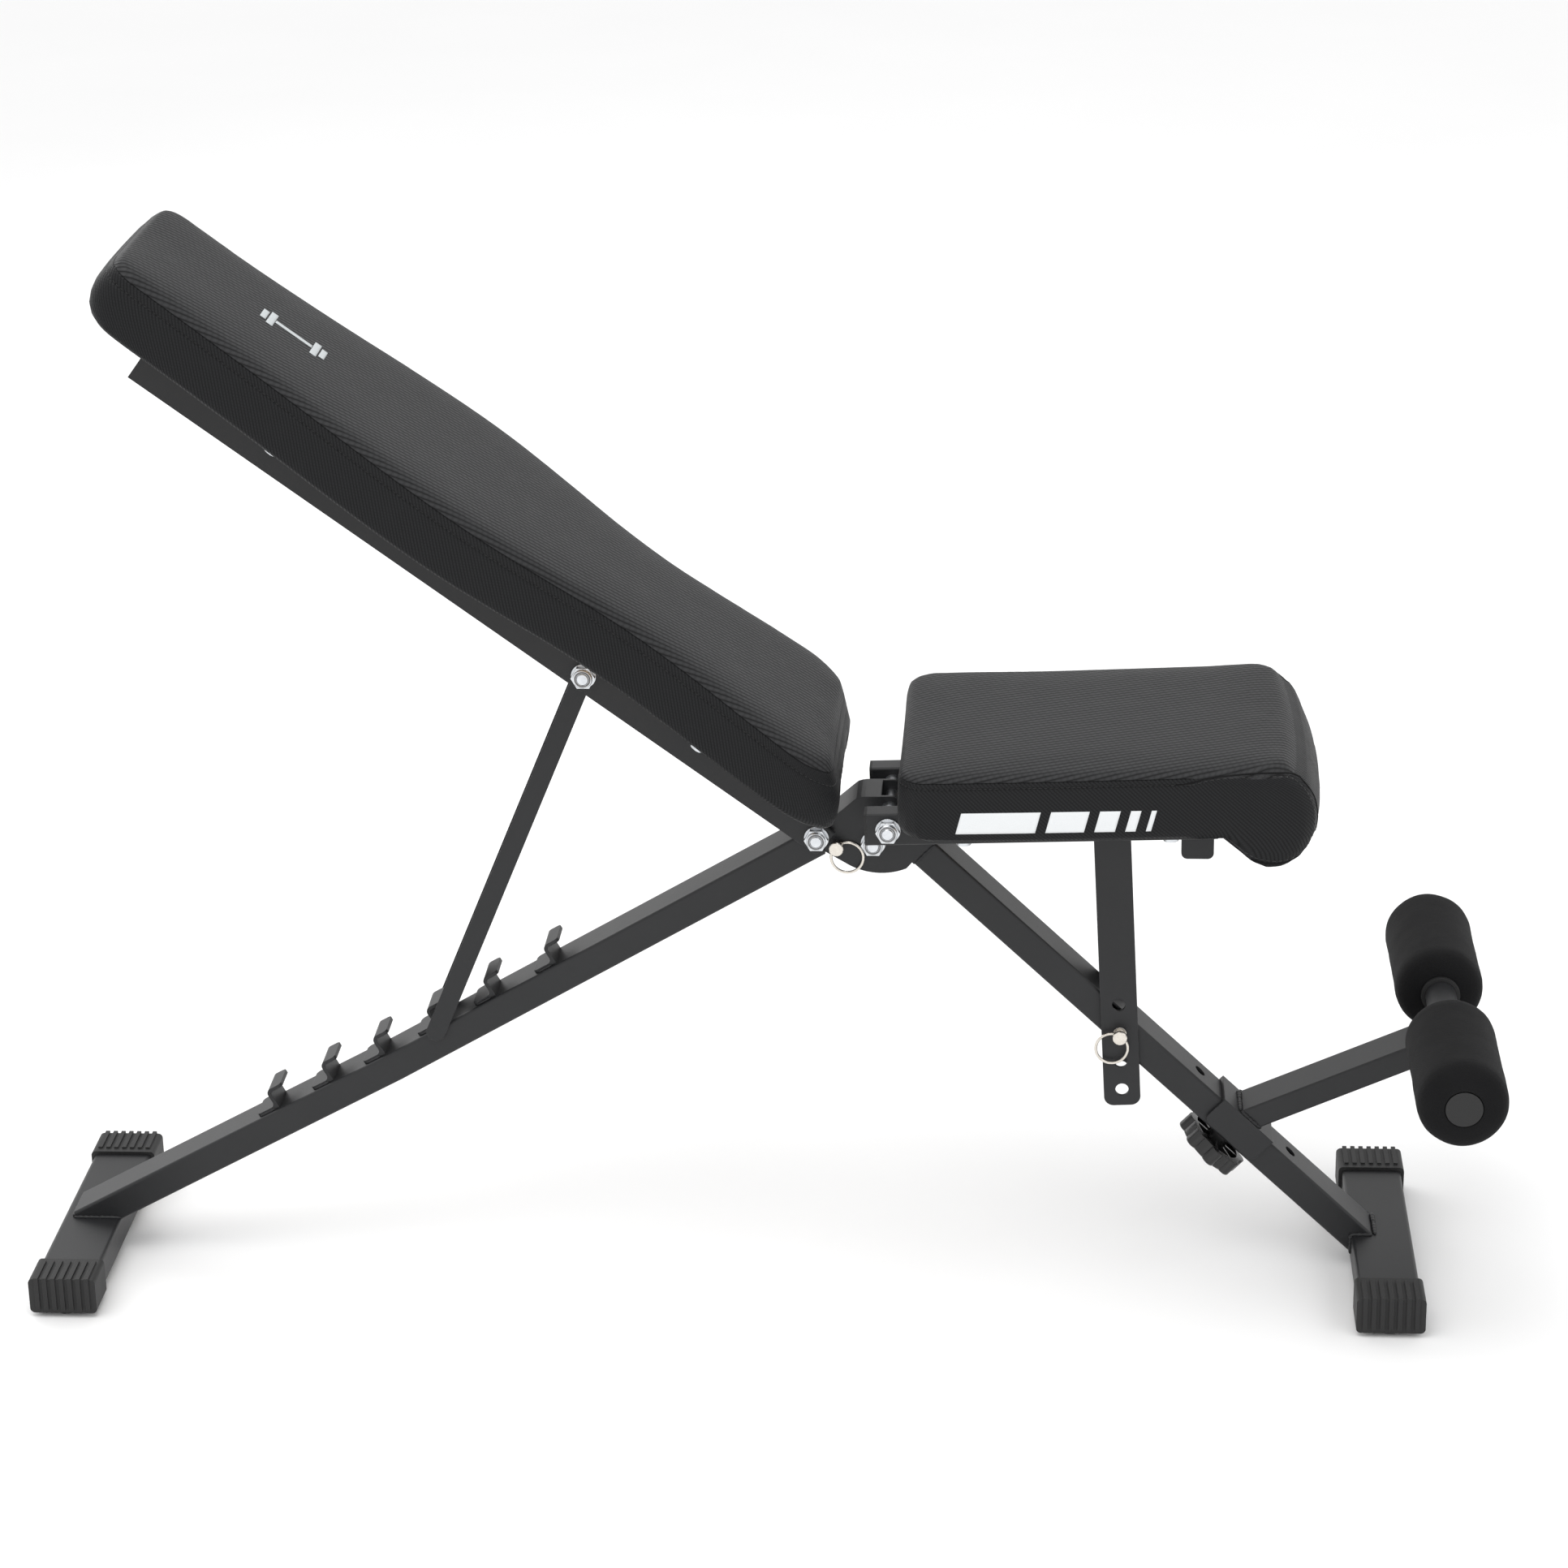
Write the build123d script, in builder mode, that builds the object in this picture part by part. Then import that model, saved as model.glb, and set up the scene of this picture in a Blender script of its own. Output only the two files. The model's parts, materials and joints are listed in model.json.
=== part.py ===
from build123d import *
import os
from math import atan2, cos, degrees, radians, sin

os.makedirs("parts", exist_ok=True)

# driving dimensions, in millimetres
FRAME_SHIFT = -27.25      # the point between the two feet, from the middle of the whole length
FOOT_HALF_SPAN = 545.0    # foot tube centres to that middle
FOOT_W = 50.0
FOOT_H = 25.0
FOOT_WALL = 2.0
FOOT_LOW = 7.0
CAP_OUT = 3.0             # cap wall outside the foot tube
CAP_LENGTH = 38.0
FOOT_LENGTH = 276.0       # over the caps
TUBE_W = 40.0             # rear beam and front leg
TUBE_H = 25.0
TUBE_WALL = 2.0
TUBE_CORNER = 2.5
PLATE = 3.0
BOLT_R = 5.0
PIVOT_HOLE_R = 5.05
LEG_ANGLE = 43.85         # front leg below the level
BEAM_ANGLE = 30.0         # rear beam, hinge end
BEAM_BEND = 1.5           # less steep past the bend
SEAT_RISE = 1.6           # seat above the level
BACK_ANGLE = 36.83        # backrest above the level
PIN_R = 3.5
PIN_HOLE_R = 3.56
RING_R = 13.1
RING_WIRE = 1.2
ROLLER_R = 36.5
ROLLER_BORE = 12.8
AXLE_R = 12.7

# pivots in the side view, from the middle between the feet on the floor
FOLD = (124.2, 382.2)
SEAT_PIVOT = (138.0, 410.0)
BACK_PIVOT = (78.6, 388.8)
STRUT_TOP = (-105.8, 527.1)
STRUT_FOOT = (-237.3, 219.0)
FOLD_PIN = (94.5, 379.8)
POST_TOP = (316.2, 410.0)
SEAT_PIN = (325.2, 216.3)
AXLE = (591.0, 226.0)

SIDE = Plane(origin=(FRAME_SHIFT, 0, 0), x_dir=(1, 0, 0), z_dir=(0, -1, 0))
LEG_DIR = (cos(radians(LEG_ANGLE)), 0, -sin(radians(LEG_ANGLE)))
LEG = Plane(origin=(FRAME_SHIFT, 0, 0), x_dir=LEG_DIR, z_dir=(0, -1, 0))
LEG_TOP = 396.0
LEG_LOW = LEG_TOP - TUBE_H
LEG_START = -138.5
LEG_HOLES = (163.7, 216.5, 269.3)
BEAM = Plane(
    origin=(FRAME_SHIFT, 0, 0),
    x_dir=(cos(radians(BEAM_ANGLE)), 0, sin(radians(BEAM_ANGLE))),
    z_dir=(0, -1, 0),
)
BEAM_LOW = 279.0
BEAM_TOP = BEAM_LOW + TUBE_H
SEAT = Plane(
    origin=(SEAT_PIVOT[0] + FRAME_SHIFT, 0, SEAT_PIVOT[1]),
    x_dir=(cos(radians(SEAT_RISE)), 0, sin(radians(SEAT_RISE))),
    z_dir=(0, -1, 0),
)
BACK = Plane(
    origin=(BACK_PIVOT[0] + FRAME_SHIFT, 0, BACK_PIVOT[1]),
    x_dir=(-cos(radians(BACK_ANGLE)), 0, sin(radians(BACK_ANGLE))),
    z_dir=(0, 1, 0),
)
BACK_ALONG = Axis(BACK.origin, BACK.x_dir)
STRUT_LEAN = degrees(atan2(STRUT_TOP[1] - STRUT_FOOT[1], STRUT_TOP[0] - STRUT_FOOT[0]))
STRUT_LENGTH = ((STRUT_TOP[0] - STRUT_FOOT[0]) ** 2 + (STRUT_TOP[1] - STRUT_FOOT[1]) ** 2) ** 0.5
STRUT = Plane(
    origin=(STRUT_FOOT[0] + FRAME_SHIFT, 0, STRUT_FOOT[1]),
    x_dir=(cos(radians(STRUT_LEAN)), 0, sin(radians(STRUT_LEAN))),
    z_dir=(0, -1, 0),
)
POST_LEAN = degrees(atan2(SEAT_PIN[1] - POST_TOP[1], SEAT_PIN[0] - POST_TOP[0]))
POST = Plane(
    origin=(POST_TOP[0] + FRAME_SHIFT, 0, POST_TOP[1]),
    x_dir=(cos(radians(POST_LEAN)), 0, sin(radians(POST_LEAN))),
    z_dir=(0, -1, 0),
)
POST_PIN = ((SEAT_PIN[0] - POST_TOP[0]) ** 2 + (SEAT_PIN[1] - POST_TOP[1]) ** 2) ** 0.5
ARM_DIR = (cos(radians(24.0)), 0, sin(radians(24.0)))
ARM = Plane(origin=(436.6 + FRAME_SHIFT, 0, 149.6), x_dir=ARM_DIR, z_dir=(0, -1, 0))

made = []


def keep(builder, label):
    builder.part.label = label
    made.append(builder.part)


def on_circle(centre, radius, angle):
    x = centre[0] + radius * cos(radians(angle))
    return (x, centre[1] + radius * sin(radians(angle)))


# feet: one flat tube across each end, with a ribbed cap and a glide at both ends
for end, foot_x in (("rear", -FOOT_HALF_SPAN), ("front", FOOT_HALF_SPAN)):
    middle = FOOT_LOW + FOOT_H / 2
    with BuildPart() as foot:
        with BuildSketch(SIDE):
            with Locations((foot_x, middle)):
                RectangleRounded(FOOT_W, FOOT_H, 3)
                RectangleRounded(FOOT_W - 2 * FOOT_WALL, FOOT_H - 2 * FOOT_WALL, 1, mode=Mode.SUBTRACT)
        extrude(amount=FOOT_LENGTH / 2 - CAP_OUT, both=True)
    keep(foot, f"{end}_foot_tube")

    with BuildPart() as caps:
        for side in (1, -1):
            inner = side * (FOOT_LENGTH / 2 - CAP_LENGTH)
            depth = side * (CAP_LENGTH - 1.5)
            with BuildSketch(SIDE.offset(inner)):
                with Locations((foot_x, middle)):
                    RectangleRounded(FOOT_W + 2 * CAP_OUT, FOOT_H + 2 * CAP_OUT, 4)
            extrude(amount=depth)
            with BuildSketch(SIDE.offset(inner)):
                with Locations((foot_x, middle)):
                    RectangleRounded(FOOT_W, FOOT_H, 3)
            extrude(amount=side * (CAP_LENGTH - CAP_OUT), mode=Mode.SUBTRACT)
            with BuildSketch(SIDE.offset(inner + side * 6)):
                with Locations((foot_x, FOOT_LOW + FOOT_H + CAP_OUT)):
                    with GridLocations(7.0, 1, 7, 1):
                        Rectangle(3.6, 3)
            extrude(amount=side * (CAP_LENGTH - 6))
            with BuildSketch(SIDE.offset(inner + side * (CAP_LENGTH - 3))):
                with Locations((foot_x, middle + 1)):
                    with GridLocations(7.0, 1, 7, 1):
                        Rectangle(3.6, FOOT_H + 2)
            extrude(amount=side * 3)
    keep(caps, f"{end}_foot_caps")

    with BuildPart() as glides:
        for side in (1, -1):
            spot = side * (FOOT_LENGTH / 2 - CAP_LENGTH / 2)
            with BuildSketch(Plane.XY):
                with Locations((foot_x + FRAME_SHIFT, spot)):
                    Circle(11.5)
            extrude(amount=FOOT_LOW - CAP_OUT, taper=-18)
    keep(glides, f"{end}_foot_glides")

# front leg: flat tube from the hinge bracket down to the front foot
with BuildPart() as front_leg:
    with BuildSketch(LEG):
        with BuildLine():
            Polyline(
                (LEG_START, LEG_LOW), (400, LEG_LOW), (400, LEG_TOP), (LEG_START, LEG_TOP), close=True
            )
        make_face()
    extrude(amount=TUBE_W / 2, both=True)
    fillet(front_leg.edges().filter_by(Axis(LEG.origin, LEG_DIR)), TUBE_CORNER)
    with BuildSketch(LEG):
        with BuildLine():
            Polyline(
                (LEG_START - 1, LEG_LOW + TUBE_WALL),
                (401, LEG_LOW + TUBE_WALL),
                (401, LEG_TOP - TUBE_WALL),
                (LEG_START - 1, LEG_TOP - TUBE_WALL),
                close=True,
            )
        make_face()
    extrude(amount=TUBE_W / 2 - TUBE_WALL, both=True, mode=Mode.SUBTRACT)
    with BuildSketch(SIDE):
        with Locations((FOOT_HALF_SPAN + 25, -4)):
            Rectangle(100, 72)
        with Locations((FOOT_HALF_SPAN + 45, 60)):
            Rectangle(100, 60)
    extrude(amount=40, both=True, mode=Mode.SUBTRACT)
    with BuildSketch(POST.offset(TUBE_W / 2)):
        with Locations((POST_PIN, -3.2)):
            Rectangle(80, 19.2)
    extrude(amount=-(TUBE_WALL + 1.4), mode=Mode.SUBTRACT)
    for hole_a in LEG_HOLES:
        top = LEG.from_local_coords((hole_a, LEG_TOP + 2, 0))
        with BuildSketch(Plane(origin=top, x_dir=LEG_DIR, z_dir=-LEG.y_dir)):
            Circle(5.3)
        extrude(amount=TUBE_H + 4, mode=Mode.SUBTRACT)
keep(front_leg, "front_leg_tube")

# hinge bracket: two plates joined by a strip bent over the top
with BuildPart() as bracket:
    with BuildSketch(SIDE):
        with BuildLine():
            ThreePointArc(on_circle(FOLD, 40, 191.5), on_circle(FOLD, 40, 171), on_circle(FOLD, 40, 150))
            Polyline(on_circle(FOLD, 40, 150), (108.5, 418.6), (111, 420.6), (114.5, 421.7))
            Polyline((114.5, 421.7), (118, 422.2), (138, 422.5))
            ThreePointArc((138, 422.5), (147.2, 418.4), (150.4, 411))
            Polyline((150.4, 411), (174.4, 381.5), (157.1, 363.5), (155.5, 365.1), (150.9, 359.8))
            ThreePointArc((150.9, 359.8), (128, 355.8), (104.5, 362.5))
            Line((104.5, 362.5), on_circle(FOLD, 40, 191.5))
        make_face()
        with Locations(FOLD, SEAT_PIVOT):
            Circle(BOLT_R, mode=Mode.SUBTRACT)
        with Locations(FOLD_PIN):
            Circle(PIN_HOLE_R, mode=Mode.SUBTRACT)
    extrude(amount=TUBE_W / 2, both=True)
    with BuildSketch(SIDE):
        Rectangle(900, 1000)
    extrude(amount=TUBE_W / 2 - PLATE, both=True, mode=Mode.SUBTRACT)
    with BuildSketch(SIDE):
        with BuildLine():
            Polyline(
                on_circle(FOLD, 40, 150),
                (108.5, 418.6),
                (111, 420.6),
                (114.5, 421.7),
                (118, 422.2),
                (131, 422.4),
                (131, 419.4),
                (116, 419.1),
                (110.5, 416.4),
                (91.7, 400.2),
                close=True,
            )
        make_face()
    extrude(amount=TUBE_W / 2 - PLATE, both=True)
keep(bracket, "hinge_bracket")

# rear beam: the same flat tube with a slight bend, cut round the fold pivot
BEND_X = -272.0
bend_low = (BEND_X, (BEAM_LOW + BEND_X / 2) / cos(radians(30)))
slope = sin(radians(BEAM_ANGLE - BEAM_BEND)) / cos(radians(BEAM_ANGLE - BEAM_BEND))
normal = radians(BEAM_ANGLE - BEAM_BEND / 2 + 90)
stretch = TUBE_H / cos(radians(BEAM_BEND / 2))
bend_top = (bend_low[0] + stretch * cos(normal), bend_low[1] + stretch * sin(normal))


def beam_z(x, level):
    if x > (bend_low[0] if level == BEAM_LOW else bend_top[0]):
        return (level + x / 2) / cos(radians(30))
    start = bend_low if level == BEAM_LOW else bend_top
    return start[1] + (x - start[0]) * slope


with BuildPart() as rear_beam:
    with BuildSketch(SIDE):
        with BuildLine():
            Polyline(
                (-561, beam_z(-561, BEAM_LOW)),
                bend_low,
                (118, beam_z(118, BEAM_LOW)),
                (110, beam_z(110, BEAM_TOP)),
                bend_top,
                (-561, beam_z(-561, BEAM_TOP)),
                close=True,
            )
        make_face()
    extrude(amount=TUBE_W / 2, both=True)
    fillet(rear_beam.edges().filter_by(Axis.Y, reverse=True), TUBE_CORNER)
    with BuildSketch(SIDE):
        with BuildLine():
            Polyline(
                (-561, beam_z(-561, BEAM_LOW)),
                bend_low,
                (118, beam_z(118, BEAM_LOW)),
                (110, beam_z(110, BEAM_TOP)),
                bend_top,
                (-561, beam_z(-561, BEAM_TOP)),
                close=True,
            )
        make_face()
        offset(amount=-TUBE_WALL, kind=Kind.INTERSECTION)
    extrude(amount=TUBE_W / 2 - TUBE_WALL, both=True, mode=Mode.SUBTRACT)
    with BuildSketch(SIDE):
        with Locations((-FOOT_HALF_SPAN, 16)):
            Rectangle(FOOT_W, 32)
        with Locations(FOLD):
            Circle(40.6)
        with Locations(BACK_PIVOT):
            Circle(BOLT_R)
    extrude(amount=40, both=True, mode=Mode.SUBTRACT)
keep(rear_beam, "rear_beam_tube")

# hinge tongue: two plates and a block in the beam's end, with a seat for the lock pin
with BuildPart() as tongue:
    with BuildSketch(SIDE):
        with BuildLine():
            Polyline(
                (-10, beam_z(-10, 281)),
                (86, beam_z(86, 281)),
                (90.5, 372.6),
                (97, 370.9),
                (105, 369.2),
                on_circle(FOLD, 13, 250),
            )
            ThreePointArc(on_circle(FOLD, 13, 250), on_circle(FOLD, 13, 0), on_circle(FOLD, 13, 110))
            Polyline(
                on_circle(FOLD, 13, 110),
                (104, 388.5),
                (98.6, 381),
                (93.5, 383.8),
                (88, 386),
                (80, beam_z(80, 302)),
                (-10, beam_z(-10, 302)),
                (-10, beam_z(-10, 281)),
            )
        make_face()
        with Locations(FOLD):
            Circle(PIVOT_HOLE_R, mode=Mode.SUBTRACT)
        with Locations(BACK_PIVOT):
            Circle(BOLT_R, mode=Mode.SUBTRACT)
        with Locations(FOLD_PIN, (FOLD_PIN[0] - 0.4, FOLD_PIN[1] + 3.4)):
            Circle(PIN_HOLE_R, mode=Mode.SUBTRACT)
    extrude(amount=16.6, both=True)
    with BuildSketch(SIDE):
        with Locations((100, 390)):
            Rectangle(110, 200)
    extrude(amount=12.6, both=True, mode=Mode.SUBTRACT)
    with BuildSketch(BEAM):
        with Locations((195, (281 + 302) / 2)):
            Rectangle(40, 21)
    extrude(amount=TUBE_W / 2 - TUBE_WALL, both=True)
keep(tongue, "hinge_tongue")

# hooks welded along the beam for the strut's foot
HOOKS = (
    (-390.4, 152.7),
    (-342.5, 177.6),
    (-297.6, 202.2),
    (-250.7, 227.7),
    (-202.3, 256.0),
    (-150.6, 285.8),
)
HOOK_HALF = 15.5          # half the strip's width
HOOK_END = 15.0           # lip's end, from the upright's back
HOOK_TOP = 18.5
TAB_END = -18.0
with BuildPart() as hooks:
    for hook_x, hook_z in HOOKS:
        lean = BEAM_ANGLE - (BEAM_BEND if hook_x < bend_top[0] else 0)
        along = (cos(radians(lean)), 0, sin(radians(lean)))
        low_z = beam_z(hook_x, BEAM_TOP)
        over = (hook_z - low_z) * cos(radians(lean))
        base_x = hook_x + over * sin(radians(lean)) + FRAME_SHIFT
        base_z = hook_z - over * cos(radians(lean))
        base = Plane(origin=(base_x, 0, base_z), x_dir=along, z_dir=(0, -1, 0))
        with BuildSketch(base):
            with BuildLine():
                Polyline((TAB_END, 0), (PLATE, 0), (PLATE, HOOK_TOP - 5))
                RadiusArc((PLATE, HOOK_TOP - 5), (PLATE + 2, HOOK_TOP - PLATE), 2)
                Polyline((PLATE + 2, HOOK_TOP - PLATE), (HOOK_END, HOOK_TOP - PLATE), (HOOK_END, HOOK_TOP))
                Line((HOOK_END, HOOK_TOP), (5, HOOK_TOP))
                RadiusArc((5, HOOK_TOP), (0, HOOK_TOP - 5), -5)
                Line((0, HOOK_TOP - 5), (0, PLATE + 4))
                RadiusArc((0, PLATE + 4), (-4, PLATE), 4)
                Polyline((-4, PLATE), (TAB_END, PLATE), (TAB_END, 0))
            make_face()
        extrude(amount=HOOK_HALF, both=True)
        for end_x, end_z in ((TAB_END, PLATE / 2), (HOOK_END, HOOK_TOP - PLATE / 2)):
            for side in (1, -1):
                corner = base.from_local_coords((end_x, end_z, side * HOOK_HALF))
                fillet(hooks.edges().sort_by_distance(corner)[0], 4)
keep(hooks, "strut_hooks")

# pivots: one bolt and one lock nut each, the nut on the near side
PIVOTS = (
    ("fold", FOLD, 20.0),
    ("seat_pivot", SEAT_PIVOT, 61.8),
    ("backrest_pivot", BACK_PIVOT, 26.8),
    ("strut_pivot", STRUT_TOP, 26.5),
)
for label, spot, face in PIVOTS:
    with BuildPart() as bolt:
        with BuildSketch(SIDE.offset(-face)):
            with Locations(spot):
                RegularPolygon(9.8, 6)
        extrude(amount=-6.4)
        with BuildSketch(SIDE.offset(-face)):
            with Locations(spot):
                Circle(BOLT_R)
        extrude(amount=2 * face + 10.5)
        chamfer(bolt.faces().sort_by(Axis.Y)[0].edges(), 0.8)
    keep(bolt, f"{label}_bolt")

    with BuildPart() as nut:
        with BuildSketch(SIDE.offset(face)):
            with Locations(spot):
                Circle(10.0)
        extrude(amount=1.5)
        with BuildSketch(SIDE.offset(face + 1.5)):
            with Locations(spot):
                RegularPolygon(9.8, 6)
        extrude(amount=5.8)
        with BuildSketch(SIDE.offset(face + 7.3)):
            with Locations(spot):
                Circle(7.9)
        extrude(amount=2.6)
        fillet(nut.faces().sort_by(Axis.Y)[0].edges(), 1.6)
        with BuildSketch(SIDE.offset(face)):
            with Locations(spot):
                Circle(BOLT_R)
        extrude(amount=12, mode=Mode.SUBTRACT)
    keep(nut, f"{label}_nut")

for label, spot, inner, outer, radius in (
    ("seat_pivot", SEAT_PIVOT, 20.0, 41.2, 8.0),
    ("backrest_pivot", BACK_PIVOT, 20.0, 23.7, 6.9),
):
    with BuildPart() as spacers:
        for side in (1, -1):
            with BuildSketch(SIDE.offset(side * inner)):
                with Locations(spot):
                    Circle(radius)
                    Circle(BOLT_R, mode=Mode.SUBTRACT)
            extrude(amount=side * (outer - inner))
    keep(spacers, f"{label}_spacers")

# pull pins with a flat head and a split ring; the seat's pin is thicker where it locks
PINS = (
    ("fold", FOLD_PIN, ((-22.0, PIN_R), (27.0, PIN_R)), 27.0, 21.5, -49.4),
    ("seat", SEAT_PIN, ((17.0, 5.4), (24.0, 5.4), (24.0, PIN_R), (31.3, PIN_R)), 31.3, 28.0, -120.0),
)
for label, spot, steps, head, ring_y, hang in PINS:
    middle = (spot[0] + FRAME_SHIFT, 0, spot[1])
    lengthwise = Plane(origin=middle, x_dir=(0, -1, 0), z_dir=(1, 0, 0))
    tangent = (sin(radians(hang)), 0, -cos(radians(hang)))
    eye = Plane(origin=(middle[0], -ring_y, middle[2]), z_dir=tangent)
    with BuildPart() as pin:
        with BuildSketch(lengthwise):
            with BuildLine():
                Polyline((steps[0][0], 0), *steps, (head, 5.9), (head + 2.4, 5.9), (head + 3, 5.3))
                Polyline((head + 3, 5.3), (head + 3, 0), (steps[0][0], 0))
            make_face()
        revolve(axis=Axis(middle, (0, -1, 0)))
        with BuildSketch(eye):
            Circle(1.75)
        extrude(amount=5, both=True, mode=Mode.SUBTRACT)
    keep(pin, f"{label}_lock_pin")

    with BuildPart() as ring:
        with BuildSketch(eye):
            Circle(RING_WIRE)
        centre = on_circle(spot, RING_R, hang)
        revolve(axis=Axis((centre[0] + FRAME_SHIFT, -ring_y, centre[1]), (0, 1, 0)))
    keep(ring, f"{label}_pin_ring")

# backrest frame: a channel, open below, whose sides straddle the beam and the strut
with BuildPart() as back_frame:
    with BuildSketch(BACK):
        with Locations(((658.5 - 9.5) / 2, 0)):
            Rectangle(658.5 + 9.5, TUBE_H)
    extrude(amount=26.5, both=True)
    upper = back_frame.edges().filter_by(BACK_ALONG).group_by(Axis(BACK.origin, BACK.y_dir))[-1]
    fillet(upper, TUBE_CORNER)
    with BuildSketch(BACK):
        with Locations((330, -2.5)):
            Rectangle(700, TUBE_H)
        with Locations((0, 5)):
            Rectangle(28, 30)
    extrude(amount=24, both=True, mode=Mode.SUBTRACT)
    with BuildSketch(BACK):
        with Locations((0, 0)):
            Circle(PIVOT_HOLE_R)
    extrude(amount=40, both=True, mode=Mode.SUBTRACT)
    with BuildSketch(SIDE):
        with Locations(STRUT_TOP):
            Circle(BOLT_R)
    extrude(amount=40, both=True, mode=Mode.SUBTRACT)
    fillet(back_frame.edges().filter_by(Axis.Y).group_by(BACK_ALONG)[0], 4)
keep(back_frame, "backrest_frame")

CROSSBARS = (125.0, 535.0)
BAR_TOP = 31.8
PLAN = Plane(origin=BACK.origin, x_dir=BACK.x_dir, z_dir=BACK.y_dir)
PAD_SCREWS = [(bar_s, side) for bar_s in CROSSBARS for side in (40, -40)]
with BuildPart() as crossbars:
    for bar_s in CROSSBARS:
        with BuildSketch(BACK):
            with Locations((bar_s, (TUBE_H / 2 + BAR_TOP) / 2)):
                Rectangle(30, BAR_TOP - TUBE_H / 2)
                Rectangle(26, BAR_TOP - TUBE_H / 2 - 4, mode=Mode.SUBTRACT)
        extrude(amount=50, both=True)
    with BuildSketch(PLAN):
        with Locations(*PAD_SCREWS):
            Circle(3.1)
    extrude(amount=60, mode=Mode.SUBTRACT)
keep(crossbars, "backrest_crossbars")

with BuildPart() as back_screws:
    with BuildSketch(PLAN.offset(TUBE_H / 2)):
        with Locations(*PAD_SCREWS):
            Circle(6)
    extrude(amount=-3.5)
    with BuildSketch(PLAN.offset(TUBE_H / 2)):
        with Locations(*PAD_SCREWS):
            Circle(3)
    extrude(amount=29)
keep(back_screws, "backrest_pad_screws")

# backrest pad: waisted plan, slanted ends, on a plywood board
BACK_PLAN = (
    (2, 92), (8, 100), (16, 108), (30, 114), (60, 116), (100, 113), (140, 107), (170, 101), (210, 96),
    (250, 98), (290, 105), (320, 114), (360, 122), (400, 125), (440, 123), (480, 119), (520, 114),
    (560, 108), (600, 103), (650, 101), (690, 98.5), (704, 95), (715, 88), (722, 74),
)
BACK_LOW = 32.0
BOARD = 10.0
with BuildPart() as back_pad:
    with BuildSketch(BACK):
        with BuildLine():
            Polyline((700, BACK_LOW), (14, BACK_LOW), (5.5, 37), (9, 48), (15.4, 60.4), (28, 72), (40, 80))
            Polyline((40, 80), (56, 84), (690, 84), (704, 82), (716, 76))
            Polyline((716, 76), (722, 60), (716, 44), (700, BACK_LOW))
        make_face()
    extrude(amount=130, both=True)
    with BuildSketch(PLAN):
        with BuildLine():
            Polyline(*BACK_PLAN, *[(s, -w) for s, w in reversed(BACK_PLAN)], close=True)
        make_face()
    extrude(amount=120, mode=Mode.INTERSECT)
    with BuildSketch(PLAN.offset(BACK_LOW)):
        with Locations((360, 0)):
            Rectangle(640.6, 180.6)
    extrude(amount=BOARD + 0.3, mode=Mode.SUBTRACT)
    # hollow in the hinge end, which clears the bracket and the rails when the backrest stands up
    with BuildSketch(BACK):
        with Locations((4, 41)):
            Rectangle(23, 28)
    extrude(amount=64, both=True, mode=Mode.SUBTRACT)
keep(back_pad, "backrest_pad")

with BuildPart() as back_board:
    with BuildSketch(PLAN.offset(BACK_LOW)):
        with Locations((360, 0)):
            Rectangle(640, 180)
        with Locations(*PAD_SCREWS):
            Circle(3, mode=Mode.SUBTRACT)
    extrude(amount=BOARD)
keep(back_board, "backrest_board")

# strut: a channel, open to the rear, with a cross pin for the hooks
with BuildPart() as strut:
    with BuildSketch(STRUT):
        with BuildLine():
            Polyline((-17, -3), (-12, -8), (STRUT_LENGTH, -8))
            ThreePointArc((STRUT_LENGTH, -8), (STRUT_LENGTH + 8, 0), (STRUT_LENGTH, 8))
            Polyline((STRUT_LENGTH, 8), (-12, 8), (-17, 3), (-17, -3))
        make_face()
        with Locations((STRUT_LENGTH, 0)):
            Circle(PIVOT_HOLE_R, mode=Mode.SUBTRACT)
    extrude(amount=23.4, both=True)
    with BuildSketch(STRUT):
        with Locations((STRUT_LENGTH / 2, 0)):
            Rectangle(STRUT_LENGTH + 60, 30)
        with Locations((STRUT_LENGTH / 2 + 2, -6.5)):
            Rectangle(STRUT_LENGTH - 40, 3, mode=Mode.SUBTRACT)
    extrude(amount=20.4, both=True, mode=Mode.SUBTRACT)
keep(strut, "strut_channel")

with BuildPart() as strut_pin:
    with BuildSketch(STRUT):
        Circle(4)
    extrude(amount=20.4, both=True)
keep(strut_pin, "strut_cross_pin")

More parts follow.
